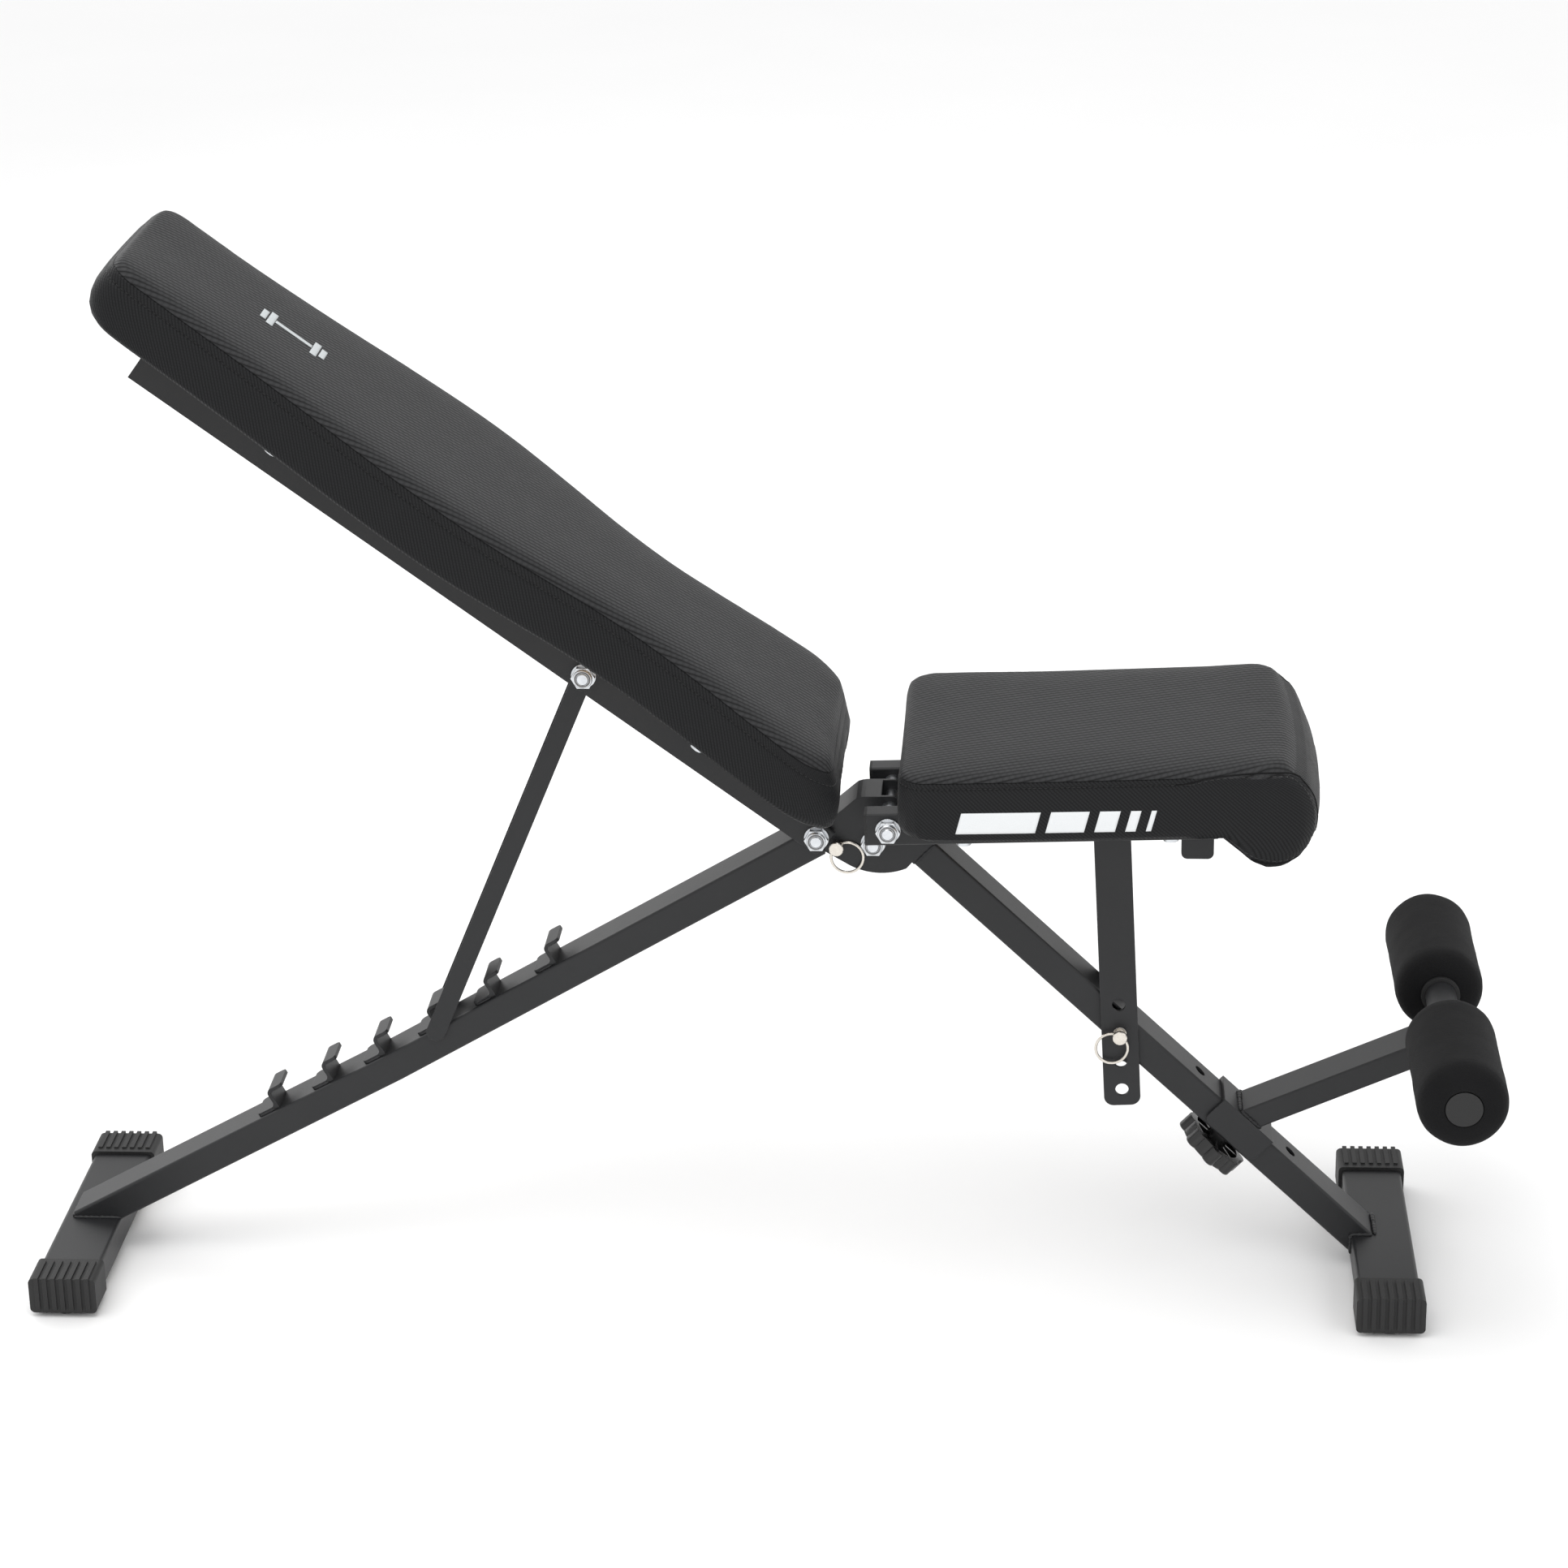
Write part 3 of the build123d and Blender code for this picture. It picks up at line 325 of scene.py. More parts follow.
def join_shapes(shapes):
    """One list of points and one of faces from several."""
    points, faces = [], []
    for more_points, more_faces in shapes:
        start = len(points)
        points.extend(more_points)
        faces.extend(tuple(i + start for i in face) for face in more_faces)
    return points, faces


# ---------------------------------------------------------------- pads
SHELL_VOXEL = 0.006        # metres, the coarse copy that the simulation moves
SIM_FRAMES = 20
SMOOTHINGS = 14


def inflate(obj, cap, low_z):
    """Puffs a copy of the pad up with cloth simulation and moves the pad's points along with it."""
    copy = obj.copy()
    copy.data = obj.data.copy()
    scene.collection.objects.link(copy)
    remesh = copy.modifiers.new("Remesh", "REMESH")
    remesh.mode = "VOXEL"
    remesh.voxel_size = SHELL_VOXEL
    bpy.context.view_layer.update()
    graph = bpy.context.evaluated_depsgraph_get()
    shell = bpy.data.meshes.new_from_object(copy.evaluated_get(graph))
    copy.modifiers.clear()
    copy.data = shell
    rest = np.array([v.co for v in shell.vertices])
    held = copy.vertex_groups.new(name="held")
    held.add([i for i, co in enumerate(rest) if co[2] < low_z], 1.0, "ADD")
    cloth = copy.modifiers.new("Cloth", "CLOTH")
    cloth.settings.use_pressure = True
    cloth.settings.uniform_pressure_force = 4.0
    cloth.settings.mass = 0.3
    cloth.settings.tension_stiffness = 40
    cloth.settings.compression_stiffness = 40
    cloth.settings.bending_stiffness = 2
    cloth.settings.vertex_group_mass = "held"
    cloth.settings.effector_weights.gravity = 0
    cloth.point_cache.frame_start = 1
    cloth.point_cache.frame_end = SIM_FRAMES
    for step in range(1, SIM_FRAMES + 1):
        scene.frame_set(step)
    graph = bpy.context.evaluated_depsgraph_get()
    puffed = np.array([v.co for v in copy.evaluated_get(graph).data.vertices])
    scene.frame_set(1)
    move = puffed - rest
    length = np.linalg.norm(move, axis=1, keepdims=True)
    move *= np.minimum(1, cap / np.maximum(length, 1e-9))
    edges = np.array([e.vertices for e in shell.edges])
    count = np.bincount(edges.ravel(), minlength=len(rest))[:, None]
    for _ in range(SMOOTHINGS):
        total = np.zeros_like(move)
        np.add.at(total, edges[:, 0], move[edges[:, 1]])
        np.add.at(total, edges[:, 1], move[edges[:, 0]])
        move = 0.4 * move + 0.6 * total / np.maximum(count, 1)
    tree = BVHTree.FromPolygons([Vector(p) for p in rest], [tuple(p.vertices) for p in shell.polygons])
    faces = [list(p.vertices) for p in shell.polygons]
    for vertex in obj.data.vertices:
        found, _, index, _ = tree.find_nearest(vertex.co)
        corners = faces[index]
        weight = 1 / (np.linalg.norm(rest[corners] - np.array(found), axis=1) + 1e-4)
        vertex.co += Vector((move[corners] * weight[:, None]).sum(0) / weight.sum())
    bpy.data.objects.remove(copy)
    obj.data.update()


class Pad:
    """A sewn pad as rings round its plan outline, from the middle of the underside to the middle of the top.

    low, top: heights along the pad.
    ends: for each end, its distance along the pad at each share of the height.
    board: the length and half width of the space for the board.
    crisp: how much of the top edge's roll each end keeps.
    wrap: where the top panel starts to wrap round the nose.
    notch: how far the hollow in the first end goes, its half width and its height.
    """

    def __init__(self, matrix, outline, low, top, ends, board, crisp, wrap=None, notch=None, count=420):
        self.matrix = matrix
        self.loop = smooth_loop(outline, count)
        self.count = count
        self.low, self.top, self.ends, self.board = low, top, ends, board
        self.crisp, self.wrap, self.notch = crisp, wrap, notch
        self.reach = (self.loop[:, 0].min(), self.loop[:, 0].max())
        self.rings, self.kinds = [], []

    def middle(self):
        half = 90.0
        spine = np.clip(self.loop[:, 0], self.reach[0] + half, self.reach[1] - half)
        return np.column_stack([spine, np.zeros(self.count)])

    def ring(self, inward, share, kind, limit=0.5):
        """A ring at a share of the height, moved in from the outline; the ends follow the side view."""
        plan = self.loop.copy()
        for end, sign in ((0, 1), (1, -1)):
            table = np.array(self.ends[end])
            target = np.interp(share, table[:, 1], table[:, 0])
            near = np.clip(sign * (plan[:, 0] - self.reach[end]) / 110, 0, 1)
            plan[:, 0] += (target - self.reach[end]) * (1 - near * near * (3 - 2 * near))
        centre = self.middle()
        back = centre - plan
        far = np.linalg.norm(back, axis=1, keepdims=True)
        depth = np.full((self.count, 1), float(inward))
        if kind == "top" and inward < 30:
            for end, keep in enumerate(self.crisp):
                close = np.clip(1 - abs(self.loop[:, :1] - self.reach[end]) / 26, 0, 1)
                depth *= 1 - (1 - keep) * close * (1 - inward / 30)
        if self.wrap and kind == "side" and inward > 0.8:
            depth *= np.clip((self.wrap - self.loop[:, :1]) / 12, 0, 1)
        plan += back / np.maximum(far, 1e-6) * np.minimum(depth, far * limit)
        if self.notch:
            start, half, level = self.notch
            hidden = (abs(plan[:, 1]) < half) & (self.height(plan[:, 0], share) < level)
            plan[:, 0] = np.where(hidden, np.maximum(plan[:, 0], start), plan[:, 0])
        self.add(plan, self.height(plan[:, 0], share), kind)

    def height(self, along, share):
        low = np.interp(along, *np.array(self.low).T)
        top = np.interp(along, *np.array(self.top).T)
        return low + (top - low) * share

    def add(self, plan, level, kind):
        self.rings.append(np.column_stack([plan, np.broadcast_to(level, (self.count,))]))
        self.kinds.append(kind)

    def underside(self, recess):
        """The flat underside, with the space that the board fills."""
        length, width = self.board
        inner = np.column_stack([np.clip(self.loop[:, 0], *length), np.clip(self.loop[:, 1], -width, width)])
        centre = self.middle()
        level = self.low[0][1]
        for share in (0.02, 0.35, 0.7):
            self.add(centre + (inner - centre) * share, level + recess, "side")
        self.add(inner, level + recess, "side")
        self.add(inner, level, "side")
        return inner

    def build(self, name, materials):
        points = np.vstack(self.rings) * MM
        count = self.count
        faces, kinds = [], []
        for i in range(len(self.rings) - 1):
            for k in range(count):
                a, b = i * count, (i + 1) * count
                n = (k + 1) % count
                faces.append((a + k, a + n, b + n, b + k))
                kinds.append(self.kinds[i + 1])
        for first in (0, (len(self.rings) - 1) * count):
            corners = tuple(range(first, first + count))
            faces.append(corners if first else tuple(reversed(corners)))
            kinds.append("top" if first else "side")
        obj = add_mesh(name, points, faces, materials)
        for face, kind in zip(obj.data.polygons, kinds):
            beyond = self.wrap and face.center.x > (self.wrap + 20) * MM
            nose = beyond and face.normal.x > abs(face.normal.y)
            face.material_index = 0 if kind == "top" or nose else 1
        return obj

    def lay_weave(self, obj):
        """A UV map in metres: lengthwise and across on the top, round the loop and up on the sides."""
        uv = obj.data.uv_layers.new(name="Weave")
        steps = np.linalg.norm(np.diff(np.vstack([self.loop, self.loop[:1]]), axis=0), axis=1)
        walk = np.concatenate([[0], np.cumsum(steps)]) * MM
        crown = max(v.co.z for v in obj.data.vertices)
        for face in obj.data.polygons:
            first = min(v % self.count for v in face.vertices)
            wraps = first == 0 and any(v % self.count == self.count - 1 for v in face.vertices)
            for corner in face.loop_indices:
                vertex = obj.data.loops[corner].vertex_index
                co = obj.data.vertices[vertex].co
                if face.material_index == 0 or len(face.vertices) > 4:
                    drop = crown - co.z
                    over_nose = np.clip((co.x - self.wrap * MM) / 0.04, 0, 1) if self.wrap else 0
                    over_side = np.clip((abs(co.y) - 0.06) / 0.04, 0, 1) * (1 - over_nose)
                    outward = np.sign(co.y) * over_side
                    uv.data[corner].uv = (co.x + over_nose * drop, co.y + outward * drop)
                else:
                    step = vertex % self.count
                    along = walk[-1] if wraps and step == 0 else walk[step]
                    uv.data[corner].uv = (along + co.z, co.z - along)

    def line(self, obj, index):
        """Where ring number index now runs, as points in the pad's own frame."""
        start = index * self.count
        return np.array([obj.data.vertices[start + k].co for k in range(self.count)])


def stitches(path, pitch, length, radius, wanted):
    """Short thread loops along a closed path, sunk at both ends; wanted(point) says where they are."""
    total = np.linalg.norm(np.diff(np.vstack([path, path[:1]]), axis=0), axis=1).sum()
    dense = even_loop(path, int(total / (length / 3)))
    per = max(2, round(pitch / (length / 3)))
    centre = path.mean(0)
    shapes = []
    for start in range(0, len(dense) - per, per):
        run = [Vector(dense[start + k]) for k in range(4)]
        if not wanted(run[0]):
            continue
        inward = Vector((0, centre[1] - run[0].y, 0))
        if inward.length <= 0.02:
            inward = Vector((centre[0] - run[0].x, 0, 0))
        inward.normalize()
        dips = (0.9, -0.25, -0.25, 0.9)
        run = [p + inward * radius * dip for p, dip in zip(run, dips)]
        shapes.append(tube(run, radius, 6))
    return join_shapes(shapes)


PUFF = 0.002                # metres, the most that the simulation may move a point
HELD_BAND = 3              # millimetres above the underside that the simulation holds still


def finish_pad(pad, name, body, node, stitched, wanted):
    """Builds the pad's cover, puffs it up, sews the stitches on and puts both in place of the CAD pad."""
    obj = pad.build(name, [VINYL_TOP, VINYL_SIDE])
    pad.lay_weave(obj)
    inflate(obj, PUFF, (pad.low[0][1] + HELD_BAND) * MM)
    thread_points, thread_faces = stitches(pad.line(obj, stitched), 0.0045, 0.0032, 0.0005, wanted)
    thread = add_mesh(name + "_stitches", thread_points, thread_faces, [THREAD])
    for piece in (obj, thread):
        piece.data.transform(pad.matrix)
        piece.data.update()
    placed(obj, body)
    placed(thread, body)
    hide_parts(node)
    return obj


def local_frame(origin, along, up):
    along, up = Vector(along).normalized(), Vector(up).normalized()
    across = up.cross(along)
    turn = Matrix((along, across, up)).transposed().to_4x4()
    return Matrix.Translation(Vector(origin) * MM) @ turn


BACK_PIVOT = (78.6, 388.8)
SEAT_PIVOT = (138.0, 410.0)
BACK_LEAN = radians(36.83)
SEAT_LEAN = radians(1.6)
BACK_FRAME = local_frame(
    (BACK_PIVOT[0] + SHIFT, 0, BACK_PIVOT[1]),
    along=(-cos(BACK_LEAN), 0, sin(BACK_LEAN)),
    up=(sin(BACK_LEAN), 0, cos(BACK_LEAN)),
)
SEAT_FRAME = local_frame(
    (SEAT_PIVOT[0] + SHIFT, 0, SEAT_PIVOT[1]),
    along=(cos(SEAT_LEAN), 0, sin(SEAT_LEAN)),
    up=(-sin(SEAT_LEAN), 0, cos(SEAT_LEAN)),
)


def mirrored(half):
    return list(half) + [(s, -w) for s, w in reversed(half)]


def sew(pad, seam, stitch, height):
    """Side, stitch line, band, seam and rolled top edge; returns the number of the stitch ring."""
    mm = 1 / height
    for inward, share in ((3.0, 0.004), (0.8, 0.05), (0.2, 0.14), (0.0, 0.28), (0.0, 0.42), (0.1, 0.55)):
        pad.ring(inward, share, "side")
    pad.ring(0.2, stitch - 4 * mm, "side")
    pad.ring(0.3, stitch - 1.2 * mm, "side")
    stitched = len(pad.rings)
    pad.ring(1.7, stitch, "side")
    pad.ring(0.3, stitch + 1.2 * mm, "side")
    pad.ring(0.3, seam - 2.5 * mm, "side")
    pad.ring(0.0, seam - 1.0 * mm, "side")
    pad.ring(0.1, seam - 0.5 * mm, "side")
    pad.ring(1.9, seam, "side")
    pad.ring(0.2, seam + 0.6 * mm, "top")
    pad.ring(0.3, seam + 1.3 * mm, "top")
    pad.ring(1.4, seam + (1 - seam) * 0.45, "top")
    pad.ring(3.6, seam + (1 - seam) * 0.72, "top")
    pad.ring(7.0, seam + (1 - seam) * 0.88, "top")
    for inward, share in ((12, 0.955), (19, 0.985), (28, 0.997), (40, 1.0)):
        pad.ring(inward, seam + (1 - seam) * share, "top")
    for inward, limit in ((55, 0.58), (70, 0.7), (84, 0.82), (100, 0.92)):
        pad.ring(inward, 1.0, "top", limit)
    return stitched


BACK_HALF = (
    (2, 45), (2, 90), (12, 106), (34, 115), (66, 116), (110, 112), (165, 102), (212, 96.5), (262, 100),
    (320, 113), (372, 122.5), (420, 124), (480, 118.5), (550, 109), (620, 102), (690, 98.5), (707, 96),
    (717, 88),
    (721, 74), (722, 40),
)
back_pad = Pad(
    BACK_FRAME,
    mirrored(BACK_HALF),
    low=((0, 32), (722, 32)),
    top=((0, 84.5), (722, 84.5)),
    ends=(
        ((15, 0), (6.5, 0.09), (9.5, 0.31), (15.4, 0.54), (28, 0.77), (36, 0.9), (40, 1.0)),
        ((708, 0), (714, 0.08), (719, 0.2), (721.5, 0.4), (721.5, 0.6), (719, 0.8), (715, 1.0)),
    ),
    board=((39.5, 680.5), 90.5),
    crisp=(0.8, 0.15),
    notch=(18, 62, 56),
)
BOARD_RECESS = 10.4
back_pad.underside(BOARD_RECESS)
back_stitch = sew(back_pad, (76.4 - 32) / 52.5, (68.4 - 32) / 52.5, 52.5)
back_cushion = finish_pad(
    back_pad, "backrest_cushion", "backrest", "backrest_pad", back_stitch, lambda p: True
)

SEAT_HALF = (
    (9, 50), (9, 98), (12, 112), (20, 121), (36, 125), (120, 125.4), (220, 125.4), (300, 125.2),
    (321, 124.6), (332, 119), (338, 108), (341.5, 70), (343, 20),
)
seat_pad = Pad(
    SEAT_FRAME,
    mirrored(SEAT_HALF),
    low=((0, 13.8), (267, 13.8), (277, 5.5), (287, -7), (297, -11.5), (309, -12.1), (343, -12.1)),
    top=((0, 68.3), (64, 69), (264, 70.2), (304, 71.8), (343, 71.8)),
    ends=(
        ((20, 0), (13, 0.03), (9.6, 0.11), (9, 0.45), (9.6, 0.81), (12, 0.94), (15, 1.0)),
        ((322, 0), (330, 0.06), (338, 0.18), (342.6, 0.34), (343, 0.5), (341.3, 0.65), (335, 0.79),
         (326, 0.89), (320, 1.0)),
    ),
    board=((24.5, 255.5), 105.5),
    crisp=(0.3, 0.9),
    wrap=246,
)
seat_pad.underside(BOARD_RECESS)
seat_stitch = sew(seat_pad, 0.885, 0.80, 57.0)
seat_cushion = finish_pad(
    seat_pad, "seat_cushion", "seat", "seat_pad", seat_stitch, lambda p: p.x < 0.24
)


# ---------------------------------------------------------------- nose seam and printed marks
def cast_onto(pad_object, matrix, spots, direction, lift):
    """Drops points given in the pad's own frame, in metres, onto its surface along a direction."""
    tree = BVHTree.FromPolygons(
        [matrix.inverted() @ v.co for v in pad_object.data.vertices],
        [tuple(f.vertices) for f in pad_object.data.polygons],
    )
    way = Vector(direction)
    landed = []
    for spot in spots:
        hit, normal, _, _ = tree.ray_cast(Vector(spot) - way * 0.3, way)
        if hit is not None:
            landed.append(hit - way * lift)
    return landed


NOSE_SEAM = (
    (228, 58), (240, 59.5), (252, 63), (272, 65), (292, 66), (306, 65.5), (318, 62), (328, 53),
    (335, 40), (337.5, 27), (336.5, 12), (330, -1), (319, -7.6), (303, -9.2), (288, -6), (277, 1.5),
    (266, 10),
)


def open_curve(points, step):
    """Evenly spaced points on an open Catmull-Rom curve."""
    pts = np.array([points[0], *points, points[-1]], float)
    dense = []
    for i in range(1, len(pts) - 2):
        a, b, c, d = pts[i - 1 : i + 3]
        share = np.linspace(0, 1, 20, endpoint=False)[:, None]
        curve = 2 * b + (c - a) * share + (2 * a - 5 * b + 4 * c - d) * share**2
        dense.append(0.5 * (curve + (3 * b - a - 3 * c + d) * share**3))
    dense = np.vstack([*dense, pts[-1:]])
    length = np.concatenate([[0], np.cumsum(np.linalg.norm(np.diff(dense, axis=0), axis=1))])
    wanted = np.arange(0, length[-1], step)
    return np.column_stack([np.interp(wanted, length, dense[:, k]) for k in (0, 1)])


def nose_seams():
    """A sunk line and a row of dashes along the seam of each side panel's nose."""
    cords, threads = [], []
    line = open_curve(NOSE_SEAM, 1.0) * MM
    middle = np.array((0.300, 0.028))
    for side in (-1, 1):
        for inset, lift, radius, dashed in ((0.0, -0.0001, 0.0007, False), (0.0024, 0.0, 0.0004, True)):
            toward = middle - line
            shifted = line + toward / np.linalg.norm(toward, axis=1, keepdims=True) * inset
            spots = [(u, 0, v) for u, v in shifted]
            path = cast_onto(seat_cushion, SEAT_FRAME, spots, (0, -side, 0), lift)
            if not dashed:
                cords.append(tube(path, radius, 8))
                continue
            for start in range(0, len(path) - 4, 5):
                run = [path[start] + Vector((0, -side * 0.0004, 0)), *path[start + 1 : start + 3]]
                run.append(path[start + 3] + Vector((0, -side * 0.0004, 0)))
                threads.append(tube(run, radius, 6))
    pieces = (("seat_nose_piping", cords, VINYL_SIDE), ("seat_nose_stitches", threads, THREAD))
    for name, shapes, material in pieces:
        points, faces = join_shapes(shapes)
        obj = add_mesh(name, [SEAT_FRAME @ p for p in points], faces, [material])
        placed(obj, "seat")


def print_mark(name, pad_object, matrix, body, quads, direction, ink):
    """Thin printed shapes, each a four-cornered patch laid on the pad's surface."""
    points, faces = [], []
    for corners in quads:
        a, b, c, d = (Vector(p) * MM for p in corners)
        columns = max(2, round((b - a).length / 0.002))
        rows = max(2, round((d - a).length / 0.002))
        grid = [
            a.lerp(b, i / columns).lerp(d.lerp(c, i / columns), j / rows)
            for j in range(rows + 1)
            for i in range(columns + 1)
        ]
        landed = cast_onto(pad_object, matrix, grid, direction, 0.00025)
        start = len(points)
        points.extend(landed)
        for j in range(rows):
            for i in range(columns):
                k = start + j * (columns + 1) + i
                faces.append((k, k + 1, k + columns + 2, k + columns + 1))
    obj = add_mesh(name, [matrix @ p for p in points], faces, [ink])
    solid = obj.modifiers.new("Thickness", "SOLIDIFY")
    solid.thickness = 0.0002
    placed(obj, body)


def patch(centre, half, level):
    """A rectangle on the backrest's top."""
    s, w = centre
    a, b = half
    return [(s - a, w - b, level), (s + a, w - b, level), (s + a, w + b, level), (s - a, w + b, level)]


nose_seams()
MARK = (572, 0)
dumbbell = [patch(MARK, (17, 3), 84)]
for sign in (-1, 1):
    dumbbell.append(patch((MARK[0] + sign * 20.5, MARK[1]), (3, 15), 84))
    dumbbell.append(patch((MARK[0] + sign * 27.5, MARK[1]), (2.6, 10), 84))
print_mark("backrest_mark", back_cushion, BACK_FRAME, "backrest", dumbbell, (0, 0, -1), GREY_INK)

stripes = []
slant = 5
for start, width in ((56, 62), (126, 30), (164, 16), (188, 8), (204, 4)):
    low_edge = [(start, 0, 21), (start + width, 0, 21)]
    stripes.append([*low_edge, (start + width + slant, 0, 38), (start + slant, 0, 38)])
for side, name in ((-1, "near"), (1, "far")):
    print_mark(f"seat_mark_{name}", seat_cushion, SEAT_FRAME, "seat", stripes, (0, -side, 0), PALE_INK)


# ---------------------------------------------------------------- foam rollers
AXLE = (591.0, 226.0)
ROLLER_PROFILE = (
    (12.95, 41), (12.95, 40.4), (16, 40.1), (20, 40), (26, 40.5), (31, 42.6), (34.2, 46), (36, 51),
    (36.5, 57),
    (36.3, 80), (36.2, 110), (36.3, 140), (36.5, 163), (36, 169), (34.2, 174), (31, 177.4), (26, 179.3),
    (20, 179.8),
    (15.6, 179.6), (15.2, 179.0), (15.1, 176.9), (12.95, 176.8), (12.95, 175),
)


def foam_roller(name, body, node, side):
    profile = []
    for (r1, y1), (r2, y2) in zip(ROLLER_PROFILE, ROLLER_PROFILE[1:]):
        steps = max(1, round(max(abs(y2 - y1), abs(r2 - r1)) / 3))
        profile.extend((r1 + (r2 - r1) * k / steps, y1 + (y2 - y1) * k / steps) for k in range(steps))
    turns = 144
    centre = side_point(AXLE, 0)
    points, faces = [], []
    for radius, along in profile:
        for k in range(turns):
            turn = 2 * pi * k / turns
            spot = Vector((cos(turn) * radius, side * along, sin(turn) * radius))
            dent = noise.noise(spot * 0.05) * 0.35 + noise.noise(spot * 0.25) * 0.10 if radius > 17 else 0
            grown = radius + dent - 0.25 if radius > 17 else radius
            points.append(centre + Vector((cos(turn) * grown, side * along, sin(turn) * grown)) * MM)
    rows = len(profile)
    for i in range(rows):
        for k in range(turns):
            a, b, n = i * turns, ((i + 1) % rows) * turns, (k + 1) % turns
            quad = (a + k, b + k, b + n, a + n)
            faces.append(quad if side < 0 else tuple(reversed(quad)))
    roller = add_mesh(name, points, faces, [FOAM])
    placed(roller, body)
    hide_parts(node)


foam_roller("roller_cover_near", "roller_near", "foam_roller_near", -1)
foam_roller("roller_cover_far", "roller_far", "foam_roller_far", 1)


# ---------------------------------------------------------------- welds and hardware
def weld(name, body, path, radius):
    """A lumpy weld bead along a path of points in metres."""
    dense = []
    for a, b in zip(path, path[1:]):
        steps = max(2, int((b - a).length / 0.0011))
        dense.extend(a.lerp(b, k / steps) for k in range(steps))
    dense.append(path[-1])
    last = len(dense) - 1
    ripple = []
    for i in range(len(dense)):
        taper = min(1, 0.45 + 0.2 * i, 0.45 + 0.2 * (last - i))
        lump = noise.noise(Vector((i * 0.31, radius * 900, 1.7)))
        ripple.append(taper * (1 + 0.13 * sin(i * 1.55) + 0.22 * lump))
    points, faces = tube(dense, radius, 10, ripple=ripple)
    placed(add_mesh(name, points, faces, [PAINT]), body)


BEAM_BEND = -284.3
BEAM_LEAN_LOW = radians(28.5)
BEAM_LEAN_HIGH = radians(30)


def beam_top(x):
    """Height of the rear beam's upper face, with its slight bend."""
    level = (304 + max(x, BEAM_BEND) / 2) / cos(BEAM_LEAN_HIGH)
    return level + min(0, x - BEAM_BEND) * sin(BEAM_LEAN_LOW) / cos(BEAM_LEAN_LOW)


def weld_sides(name, body, spots, half, radius):
    """The same bead on both side faces of a tube."""
    for label, y in (("near", -half), ("far", half)):
        weld(f"{name}_{label}", body, [side_point(spot, y) for spot in spots], radius)


def weld_across(name, body, spot, half, radius):
    weld(name, body, [side_point(spot, -half), side_point(spot, half)], radius)


weld_sides("weld_beam_foot", "rear_frame", [(-560.5, 32.6), (-520.5, 32.6)], 20.2, 0.0016)
weld_across("weld_beam_end", "rear_frame", (-561.2, 33.0), 19, 0.0018)
weld_sides("weld_leg_foot", "front_frame", [(519.4, 15), (519.4, 32.6), (537, 32.6)], 20.2, 0.0018)
weld_across("weld_leg_end", "front_frame", (539.5, 32.6), 19, 0.0018)
weld_sides("weld_bracket", "front_frame", [(173.4, 380.5), (158.1, 364.5)], 20.0, 0.0012)
weld_sides("weld_arm", "front_frame", [(425.9, 145.2), (441.3, 130.4)], 20.2, 0.0020)
weld_across("weld_arm_top", "front_frame", (425.4, 145.4), 19, 0.0020)
weld_across("weld_arm_low", "front_frame", (441.9, 129.7), 19, 0.0020)
HOOK_PLACES = (
    (-390.4, 152.7), (-342.5, 177.6), (-297.6, 202.2), (-250.7, 227.7), (-202.3, 256.0), (-150.6, 285.8),
)
for number, (x, z) in enumerate(HOOK_PLACES, 1):
    lean = BEAM_LEAN_LOW if x < BEAM_BEND else BEAM_LEAN_HIGH
    over = (z - beam_top(x)) * cos(lean)
    foot = (x + over * sin(lean), z - over * cos(lean))
    lifted = (foot[0] - 0.8 * sin(lean), foot[1] + 0.8 * cos(lean))
    tab = [(lifted[0] - d * cos(lean), lifted[1] - d * sin(lean)) for d in (15, 1)]
    weld_sides(f"weld_hook_{number}", "rear_frame", tab, 15.6, 0.0013)

PIVOTS = (
    ("fold", (124.2, 382.2), 20.0, "fold_nut"),
    ("seat_pivot", SEAT_PIVOT, 61.8, "seat_pivot_nut"),
    ("backrest_pivot", BACK_PIVOT, 26.8, "backrest_pivot_nut"),
    ("strut_pivot", (-105.8, 527.1), 26.5, "strut_pivot_nut"),
)
for label, spot, face, node in PIVOTS:
    turns = np.linspace(0, 2 * pi, 49)[:-1]
    ring = [side_point((spot[0] + 5.9 * cos(a), spot[1] + 5.9 * sin(a)), -face - 9.7) for a in turns]
    points, faces = tube(ring, 0.00075, 10, closed=True)
    placed(add_mesh(label + "_nylon_ring", points, faces, [NYLON]), body_of[node])


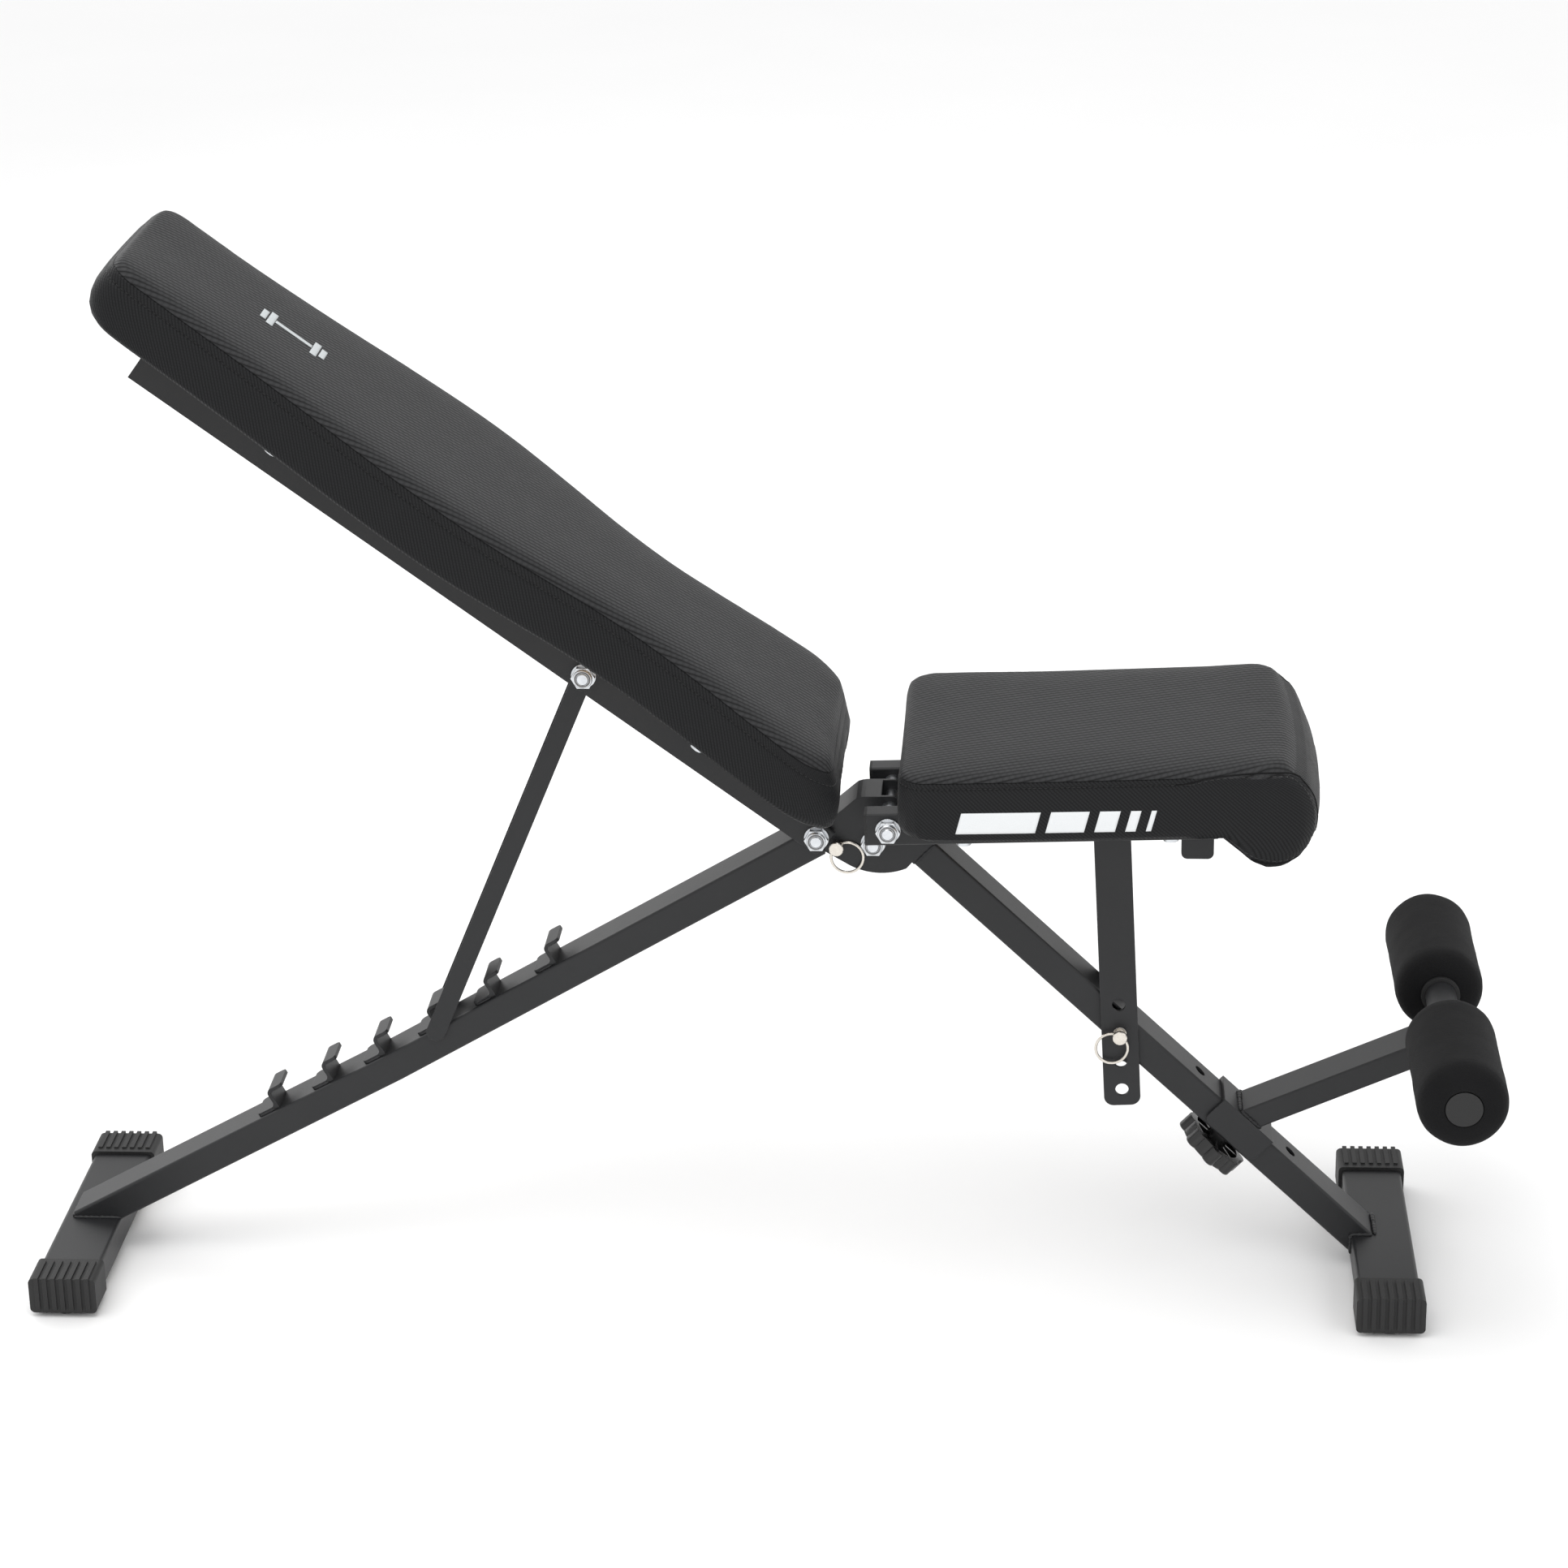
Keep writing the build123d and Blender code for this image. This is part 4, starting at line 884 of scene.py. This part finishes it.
# ---------------------------------------------------------------- floor, light and camera
def floor_plane():
    size = 60.0
    steps = 12
    line = [size * (i / steps - 0.5) for i in range(steps + 1)]
    points = [(x, y, 0.0) for x in line for y in line]
    faces = []
    for i in range(steps):
        for j in range(steps):
            a = i * (steps + 1) + j
            faces.append((a, a + steps + 1, a + steps + 2, a + 1))
    pale = Shader("studio_floor", Specular_IOR_Level=0.2)
    cloud = pale.noise(3, 2)
    pale.finish(pale.mix(cloud, (0.93, 0.93, 0.93), (0.95, 0.95, 0.95)), pale.span(cloud, 0.7, 0.8))
    add_mesh("floor", points, faces, [pale.material])


def area_light(name, place, target, size, watts):
    light = bpy.data.lights.new(name, "AREA")
    light.shape = "RECTANGLE"
    light.size, light.size_y = size
    light.energy = watts
    obj = bpy.data.objects.new(name, light)
    obj.location = place
    obj.rotation_euler = (Vector(target) - Vector(place)).to_track_quat("-Z", "Y").to_euler()
    scene.collection.objects.link(obj)


def add_camera():
    place = Vector((0.24267, -3.072097, 1.623441))
    yaw, pitch, roll = -0.0710682776, 0.371103772, 0.0192114274
    ahead = Vector((sin(yaw) * cos(pitch), cos(yaw) * cos(pitch), -sin(pitch)))
    right = Vector((cos(yaw), -sin(yaw), 0))
    down = ahead.cross(right)
    level = right * cos(roll) + down * sin(roll)
    below = down * cos(roll) - right * sin(roll)
    data = bpy.data.cameras.new("camera")
    data.sensor_width = 36.0
    data.lens = 93.46
    obj = bpy.data.objects.new("camera", data)
    turn = Matrix((level, -below, -ahead)).transposed().to_4x4()
    obj.matrix_world = Matrix.Translation(place) @ turn
    scene.collection.objects.link(obj)
    scene.camera = obj


floor_plane()
area_light("key", (-0.6, -0.6, 3.2), (0, 0, 0.4), (2.6, 2.0), 38)
area_light("fill", (2.6, -2.2, 1.8), (0, 0, 0.4), (2.0, 2.0), 9)
area_light("rim", (-2.4, 2.2, 2.0), (0, 0, 0.4), (2.0, 1.6), 22)
world = bpy.data.worlds.new("studio")
world.use_nodes = True
world.node_tree.nodes["Background"].inputs["Color"].default_value = (1, 1, 1, 1)
world.node_tree.nodes["Background"].inputs["Strength"].default_value = 1.0
scene.world = world
scene.view_settings.view_transform = "Standard"
add_camera()
